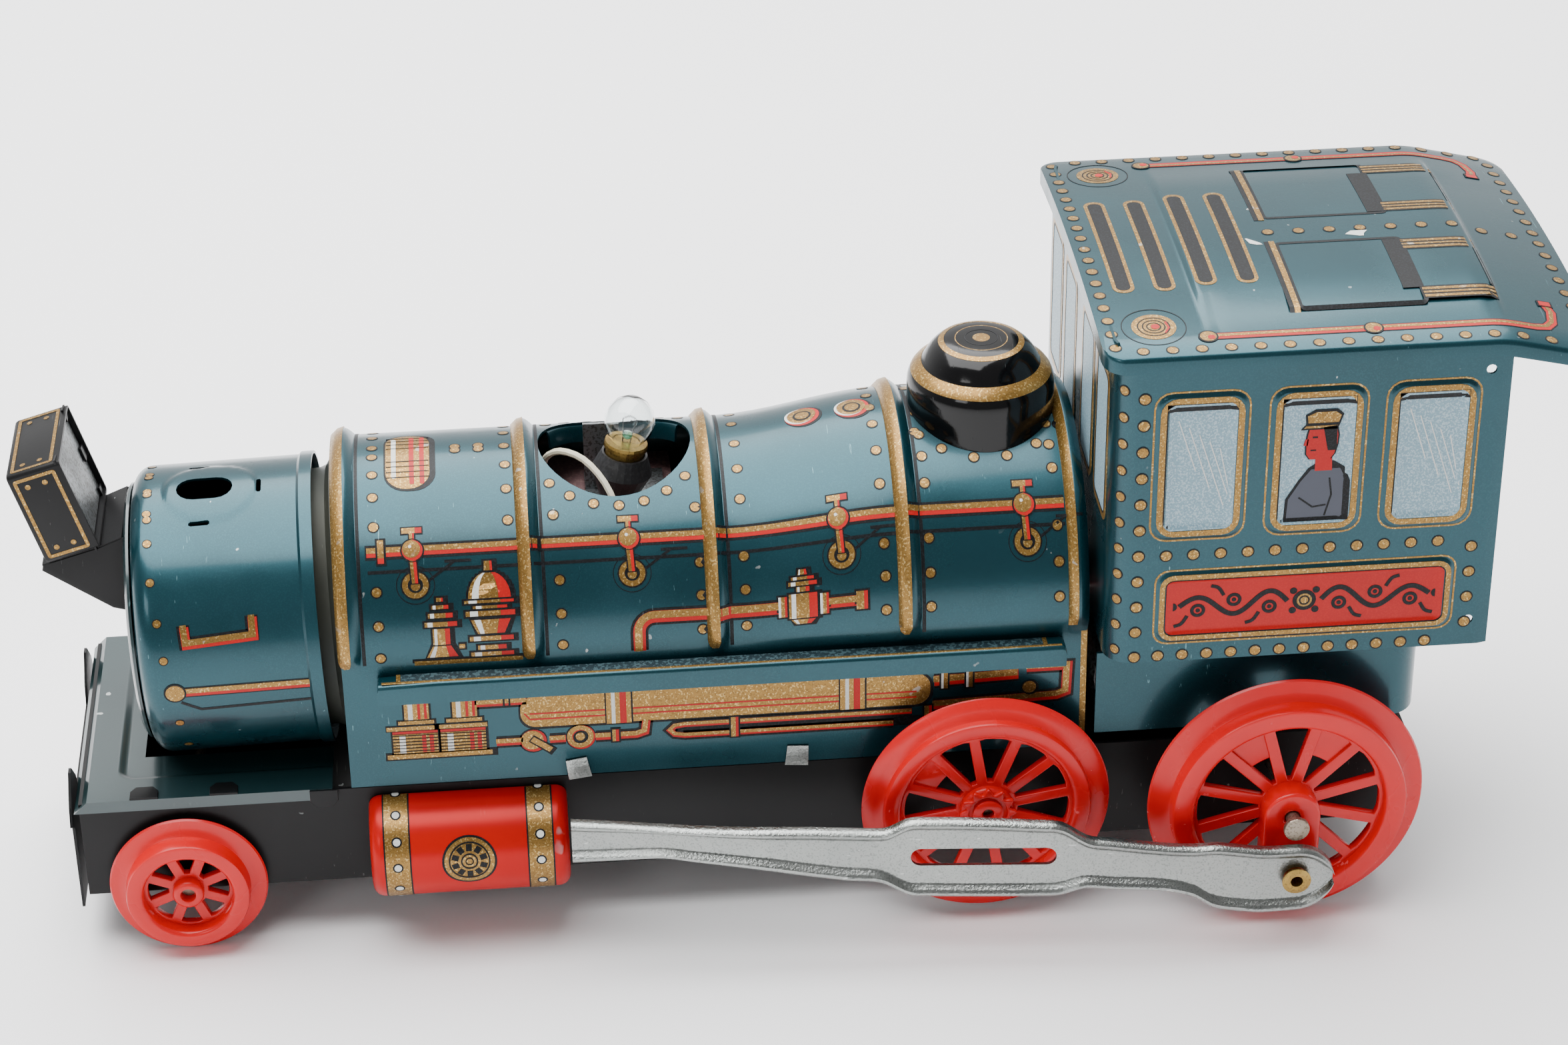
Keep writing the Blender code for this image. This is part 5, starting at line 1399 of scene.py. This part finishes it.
def print_drum():
    art = Print("drum", drum)
    front = DRUM_X[0]
    for x, degrees in ((4.1, 105), (4.0, 91), (4.0, 78), (4.1, 64), (4.4, 48), (5.2, 32), (5.8, 17), (7.2, -14), (7.8, -33)):
        rivet_on_drum(art, front + x, degrees)
    degree = 180 / math.pi / DRUM_R
    u = [(-129.2, 30.5), (-129.0, 23.4), (-114.8, 25.0), (-114.8, 32.6)]
    polar = Print("drum_prints", lambda x, s, lift, sign: drum(x, s * degree, lift, sign))
    path = [(x, d / degree) for x, d in u]
    polar.stroke("ink", path, 2.7, 0)
    polar.stroke("red", [(x + 0.2, s - 0.35) for x, s in path], 1.9, 1)
    polar.stroke("gold", [(x, s + 0.1) for x, s in path], 1.35, 2)
    level = 2.4 / degree
    polar.stroke("ink", [(-132.6, level), (-102.8, level)], 2.6, 0)
    polar.stroke("red", [(-132.6, level - 0.6), (-103.0, level - 0.6)], 0.8, 1)
    polar.stroke("gold", [(-132.6, level + 0.35), (-103.0, level + 0.35)], 1.2, 2)
    polar.dot("ink", -132.4, level, 2.4, 3, 20)
    polar.dot("gold", -132.4, level, 2.0, 4, 20)
    polar.stroke("ink", [(-131.4, level - 2.6), (-127.4, level - 5.0), (-103.0, level - 4.4)], 0.7, 0)
    polar.done()
    art.done()


def rivet_on_drum(art, x, degrees):
    degree = 180 / math.pi / DRUM_R
    for ink, radius, layer in (("ink", 1.05, 0), ("gold", 0.85, 1)):
        steps = 14
        points = [(x, degrees)] + [(x + radius * math.cos(2 * math.pi * i / steps),
                                    degrees + radius * degree * math.sin(2 * math.pi * i / steps)) for i in range(steps)]
        art.slab(ink, points, [(0, 1 + i, 1 + (i + 1) % steps) for i in range(steps)], layer)


def print_windows():
    art = Print("cab_side", cab)
    for x0, x1 in WINDOWS:
        z0, z1 = WINDOW_Z
        art.frame("gold", (x0 + 0.2, z0 + 0.2, x1 - 0.2, z1 - 0.2), 0.4, 0, 3.6)
        art.frame("ink", (x0 + 2.4, z0 + 2.4, x1 - 2.4, z1 - 2.4), 0.35, 0, 2.6)
        art.frame("gold", (x0 + 2.0, z0 + 2.0, x1 - 2.0, z1 - 2.0), 1.3, 1, 3.0)
        low, high = z0 + 2.8, z1 - 2.8
        art.box("pane", x0 + 2.8, low, x1 - 2.8, high, 0, 1.6)
        art.box("ink", x0 + 2.7, high - 1.8, x1 - 2.7, high + 0.1, 2)
        art.box("ink", x0 + 2.7, low + 0.6, x0 + 3.9, high, 2)
        if (x0, x1) == WINDOWS[1]:
            continue
        for k in range(5):
            start = x0 + 5.2 + 2.2 * k
            reach = 17.0 - 2.6 * abs(k - 2)
            top = high - 4.0 - 1.7 * k
            end = min(start + reach * 0.33, x1 - 3.4)
            art.stroke("white", [(start, top), (end, max(top - reach, low + 1.2))], 0.22, 3)
    x0, z0, x1, z1 = PLATE
    art.frame("gold", (x0 + 0.2, z0 + 0.2, x1 - 0.2, z1 - 0.2), 0.4, 0, 3.0)
    art.frame("gold", (x0 + 1.7, z0 + 1.7, x1 - 1.7, z1 - 1.7), 1.1, 1, 2.4)
    art.box("ink", x0 + 2.2, z0 + 2.2, x1 - 2.2, z1 - 2.2, 0, 1.8)
    art.box("red", x0 + 2.6, z0 + 2.6, x1 - 2.6, z1 - 2.6, 1, 1.5)
    print_scrolls(art)
    print_driver(art)
    low, high = CAB_LOW[2], CAB_HIGH[2]
    step = 6.22
    for k in range(11):
        art.rivet(69.6, low + 4.3 + step * k, 1.12)
    for k in range(12):
        art.rivet(74.6 + 5.2 * k, low + 4.4, 1.12)
    for k in range(11):
        art.rivet(75.4 + 5.74 * k, 93.4, 1.12)
    for k in range(4):
        art.rivet(140.0, low + 8.6 + step * k, 1.12)
    bend = CAB_X[0] + CAB_CORNER
    for k in range(11):
        art.rivet(bend - 4.4, low + 5.8 + step * k, 1.0)
    art.done()
    front = Print("cab_front", cab_front)
    for y0, y1 in ((23.5, 37.5), (4.5, 19.0)):
        front.frame("gold", (y0, 98.0, y1, 132.0), 1.3, 1, 2.4)
        front.box("pane", y0 + 0.6, 98.6, y1 - 0.6, 131.4, 0, 1.8)
        front.frame("ink", (y0 + 0.9, 98.9, y1 - 0.9, 131.1), 0.4, 2, 1.6)
    front.done()


def print_scrolls(art):
    """A generic scroll ornament on the red plate."""
    x0, z0, x1, z1 = PLATE
    middle, level = (x0 + x1) / 2, (z0 + z1) / 2
    for sign in (-1, 1):
        curls = []
        for k in range(60):
            share = k / 59
            along = 3.6 + 23.0 * share
            curls.append((middle + sign * along, level + 2.9 * math.sin(share * 3 * math.pi) * (1 - 0.35 * share)))
        art.stroke("ink", curls, 1.15, 3)
        for k, (reach, turn) in enumerate(((7.4, -1), (15.0, 1), (22.6, -1))):
            x, z = middle + sign * reach, level + turn * 1.1
            art.ring("ink", x, z, 1.25, 0.75, 3, 18)
            art.dot("ink", x, z, 0.5, 3, 10)
            leaf = [(x + sign * 2.2, z + turn * 1.2), (x + sign * 3.4, z + turn * 3.1), (x + sign * 5.0, z + turn * 3.7)]
            art.stroke("ink", [tuple(p)[:2] for p in smooth_path([(*q, 0) for q in leaf], 4)], 0.8, 3)
        art.dot("ink", middle + sign * 28.0, level, 1.0, 3, 14)
    art.dot("ink", middle, level, 2.5, 3, 20)
    art.dot("gold", middle, level, 1.6, 4, 20)
    art.ring("ink", middle, level, 1.0, 0.35, 5, 18)
    for turn in (45, 135, 225, 315):
        away = math.radians(turn)
        x, z = middle + 3.4 * math.cos(away), level + 3.4 * math.sin(away)
        art.dot("ink", x, z, 0.8, 3, 12)


def print_driver(art):
    """A plain crew figure in the middle window, looking ahead: cap, head, jacket."""
    x0, x1 = WINDOWS[1]
    seat = WINDOW_Z[0] + 3.4
    left = x0 + 4.6
    art.area("ink", [(seat, left - 0.4, x1 - 3.0), (seat + 5.2, left - 0.2, x1 - 3.0), (seat + 9.4, left + 2.2, x1 - 3.1),
                     (seat + 12.4, left + 4.2, x1 - 4.2), (seat + 14.0, left + 6.4, x1 - 6.6)], 3)
    art.area("jacket", [(seat + 0.3, left + 0.2, x1 - 3.6), (seat + 5.2, left + 0.4, x1 - 3.6),
                        (seat + 9.4, left + 2.8, x1 - 3.8), (seat + 12.2, left + 4.9, x1 - 5.2)], 4)
    art.stroke("ink", [(left + 8.2, seat + 1.0), (left + 9.4, seat + 6.0), (left + 8.8, seat + 10.0)], 0.4, 5)
    art.stroke("ink", [(left + 2.6, seat + 5.6), (left + 5.6, seat + 3.2), (left + 8.4, seat + 3.6)], 0.4, 5)
    neck = seat + 13.0
    art.area("red", [(neck - 1.2, left + 5.6, left + 9.2), (neck + 2.4, left + 5.6, left + 9.0)], 5)
    head = [(neck + 1.6, left + 4.4, left + 8.6), (neck + 2.8, left + 3.6, left + 9.4), (neck + 5.0, left + 3.5, left + 9.9),
            (neck + 7.2, left + 3.7, left + 10.0), (neck + 9.2, left + 4.1, left + 9.6)]
    art.area("ink", [(v, a - 0.3, b + 0.3) for v, a, b in head], 5)
    art.area("red", head, 6)
    art.area("ink", [(neck + 3.6, left + 8.0, left + 9.9), (neck + 9.2, left + 6.8, left + 9.7)], 7)
    art.area("red", [(neck + 4.9, left + 2.9, left + 3.8), (neck + 6.4, left + 3.3, left + 3.9)], 6)
    art.box("ink", left + 4.7, neck + 6.6, left + 5.8, neck + 7.0, 7)
    art.box("ink", left + 4.4, neck + 3.6, left + 5.6, neck + 3.9, 7)
    art.area("ink", [(neck + 8.6, left + 2.2, left + 9.8), (neck + 9.8, left + 3.2, left + 10.2),
                     (neck + 12.0, left + 3.0, left + 10.9), (neck + 13.2, left + 5.0, left + 9.6)], 7)
    art.area("gold", [(neck + 10.2, left + 3.6, left + 9.9), (neck + 11.8, left + 3.4, left + 10.4),
                      (neck + 12.7, left + 5.2, left + 9.2)], 8)
    art.area("gold", [(neck + 9.0, left + 2.8, left + 6.0), (neck + 9.5, left + 3.2, left + 9.8)], 8)
    art.dot("gold", left + 4.6, neck + 10.9, 0.7, 9, 12)


def print_roof():
    art = Print("roof_side", roof)
    for v in range(9):
        art.rivet(63.6, 2.6 + 5.0 * v, 1.1)
    for k in range(16):
        art.rivet(69.0 + 6.0 * k, ROOF_HALF - 2.6, 1.1)
    for k in range(8):
        art.rivet(ROOF_HIGH[0] - 3.2, 2.6 + 5.4 * k, 1.1)
    x, y = 72.6, 35.6
    art.ring("ink", x, y, 6.6, 0.22, 0, 40)
    art.dot("gold", x, y, 4.6, 0, 32)
    for reach in (3.3, 2.3, 1.4):
        art.ring("ink", x, y, reach, 0.28, 1, 28)
    art.dot("red", x + 0.3, y, 0.9, 2, 14)
    art.stroke("red", [(x + 2.6, y - 1.6), (x + 3.0, y + 0.6), (x + 2.0, y + 2.4)], 0.4, 2)
    print_roof_pipe(art)
    print_hatch_frames(art)
    art.done()
    middle = Print("roof_middle", roof, ("left",))
    for x in (69.0, 77.6, 86.2, 94.9):
        middle.box("gold", x - 2.3, -20.4, x + 2.3, 22.0, 0, 2.2)
        middle.box("ink", x - 1.5, -19.4, x + 1.5, 21.0, 1, 1.4)
    for k in range(9):
        middle.rivet(103.0 + 6.6 * k, 0.6, 1.1)
    middle.area("white", [(3.2, 97.6, 98.0), (5.4, 98.2, 100.4), (6.2, 99.6, 100.8)], 1)
    middle.area("white", [(2.0, 120.4, 124.0), (3.4, 119.0, 123.0), (4.4, 122.0, 122.8)], 1)
    middle.done()


def print_roof_pipe(art):
    y = 40.2
    path = [(83.4, y), (150.6, y), (153.2, y - 0.6), (154.8, y - 2.6), (155.6, y - 6.6), (155.0, y - 9.4)]
    art.stroke("ink", path, 2.5, 0)
    art.stroke("red", path, 2.0, 1)
    art.stroke("gold", [(u, v - 0.3) for u, v in path], 0.9, 2)
    for x in (83.0, 117.0):
        art.dot("ink", x, y, 2.1, 3, 18)
        art.dot("gold", x, y, 1.7, 4, 18)
        art.dot("red", x + 0.6, y + 0.4, 0.8, 5, 12)
    art.box("ink", 153.4, y - 10.8, 156.6, y - 8.6, 3)
    art.box("red", 153.8, y - 10.5, 156.2, y - 8.9, 4)


def print_hatch_frames(art):
    """The two hatches drawn each side of the middle line."""
    near, far = 6.0, 32.6
    art.frame("ink", (103.6, near, 129.8, far), 0.9, 0, 1.0)
    art.box("ink", 101.2, near - 1.0, 102.2, far + 2.0, 0)
    art.box("gold", 102.2, near - 1.0, 103.4, far + 2.0, 1)
    art.box("ink", 126.0, near + 0.6, 130.4, far - 5.4, 1)
    for v in (near + 1.2, far - 5.2):
        art.box("ink", 129.6, v - 0.6, 145.2, v + 4.2, 0)
        art.box("gold", 129.8, v, 145.0, v + 0.9, 1)
        art.box("gold", 129.8, v + 1.5, 145.0, v + 2.2, 1)
        art.box("gold", 129.8, v + 2.8, 145.0, v + 3.7, 1)
    art.box("ink", 144.4, near + 5.2, 145.4, far - 5.8, 0)


def print_cylinder():
    degree = 180 / math.pi / CYLINDER_R
    art = Print("cylinder", lambda x, s, lift, sign: cylinder(x, s * degree, lift, sign))
    foot, crown = -74 / degree, 92 / degree
    for x in (CYLINDER_X[0] + 5.8, CYLINDER_X[1] - 6.2):
        art.area("ink", [(foot, x - 2.9, x + 2.9), (crown, x - 2.9, x + 2.9)], 0)
        art.area("gold", [(foot, x - 2.55, x + 2.55), (crown, x - 2.55, x + 2.55)], 1)
        for degrees in (92, 62, 33, 5, -25, -54):
            art.dot("ink", x, degrees / degree, 1.15, 2, 14)
            art.dot("white", x, degrees / degree, 0.8, 3, 14)
    x, s = -72.6, 8 / degree
    art.dot("ink", x, s, 5.9, 0, 40)
    art.dot("gold", x, s, 5.4, 1, 40)
    art.ring("ink", x, s, 4.3, 0.35, 2, 36)
    for k in range(10):
        turn = math.radians(36 * k + 18)
        art.stroke("ink", [(x + r * math.cos(turn), s + r * math.sin(turn)) for r in (2.4, 3.9)], 1.25, 2)
    art.ring("ink", x, s, 1.7, 0.35, 2, 24)
    art.ring("ink", x, s, 0.8, 0.25, 2, 16)
    art.done()


# The scene --------------------------------------------------------------------------------


def place_camera():
    """The photograph's viewpoint: a little right of square on, looking down from the left side."""
    azimuth, elevation, roll = (math.radians(a) for a in (4.728, 30.915, -0.755))
    ahead = Vector((math.sin(azimuth) * math.cos(elevation), math.cos(azimuth) * math.cos(elevation), -math.sin(elevation)))
    right = Vector((math.cos(azimuth), -math.sin(azimuth), 0))
    up = right.cross(ahead)
    tilted = math.cos(roll) * right + math.sin(roll) * up
    above = math.cos(roll) * up - math.sin(roll) * right
    data = bpy.data.cameras.new("camera")
    data.lens, data.sensor_width = 85.95, 36.0
    camera = bpy.data.objects.new("camera", data)
    bpy.context.scene.collection.objects.link(camera)
    turn = Matrix((tilted, above, -ahead)).transposed()
    camera.matrix_world = Matrix.Translation((-0.058218, -0.699635, 0.499749)) @ turn.to_4x4()
    bpy.context.scene.camera = camera


def place_light(name, spot, target, size, power, colour=(1, 1, 1)):
    data = bpy.data.lights.new(name, "AREA")
    data.shape, data.size, data.size_y = "RECTANGLE", size[0], size[1]
    data.energy, data.color = power, colour
    light = bpy.data.objects.new(name, data)
    bpy.context.scene.collection.objects.link(light)
    toward = (Vector(target) - Vector(spot)).to_track_quat("-Z", "Y")
    light.matrix_world = Matrix.Translation(spot) @ toward.to_matrix().to_4x4()


def make_stage():
    mesh = bpy.data.meshes.new("floor")
    reach = 3.0
    mesh.from_pydata([(-reach, -reach, 0), (reach, -reach, 0), (reach, reach, 0), (-reach, reach, 0)], [], [(0, 1, 2, 3)])
    mesh.materials.append(FINISH["floor"])
    floor = bpy.data.objects.new("floor", mesh)
    bpy.context.scene.collection.objects.link(floor)
    make_sky()
    place_light("top_box", (-0.15, 0.36, 1.1), (-0.05, 0.30, 0.0), (1.7, 1.2), 54)
    place_light("near_fill", (-0.9, -1.2, 0.9), (0, 0, 0.06), (0.5, 0.35), 3.4)


def make_sky():
    """A dim studio on the camera's side, and white paper beyond the object."""
    world = bpy.data.worlds.new("studio")
    world.use_nodes = True
    nodes, links = world.node_tree.nodes, world.node_tree.links
    split = nodes.new("ShaderNodeSeparateXYZ")
    links.new(nodes.new("ShaderNodeTexCoord").outputs["Generated"], split.inputs[0])
    far = nodes.new("ShaderNodeMapRange")
    far.interpolation_type = "SMOOTHSTEP"
    for socket, value in (("From Min", -0.35), ("From Max", 0.75), ("To Min", 0.34), ("To Max", 1.35)):
        far.inputs[socket].default_value = value
    links.new(split.outputs["Y"], far.inputs["Value"])
    links.new(far.outputs[0], nodes["Background"].inputs["Strength"])
    nodes["Background"].inputs["Color"].default_value = (1, 1, 1, 1)
    bpy.context.scene.world = world


place_camera()
make_boiler()
make_drum()
make_door()
make_headlamp()
make_deck()
make_boards()
make_dome()
make_cab()
make_roof()
make_cylinders()
make_rods()
make_wheels()
make_lamp()
make_inner_parts()
print_boiler()
print_panel()
print_drum()
print_windows()
print_roof()
print_cylinder()
make_stage()
bpy.context.view_layer.update()
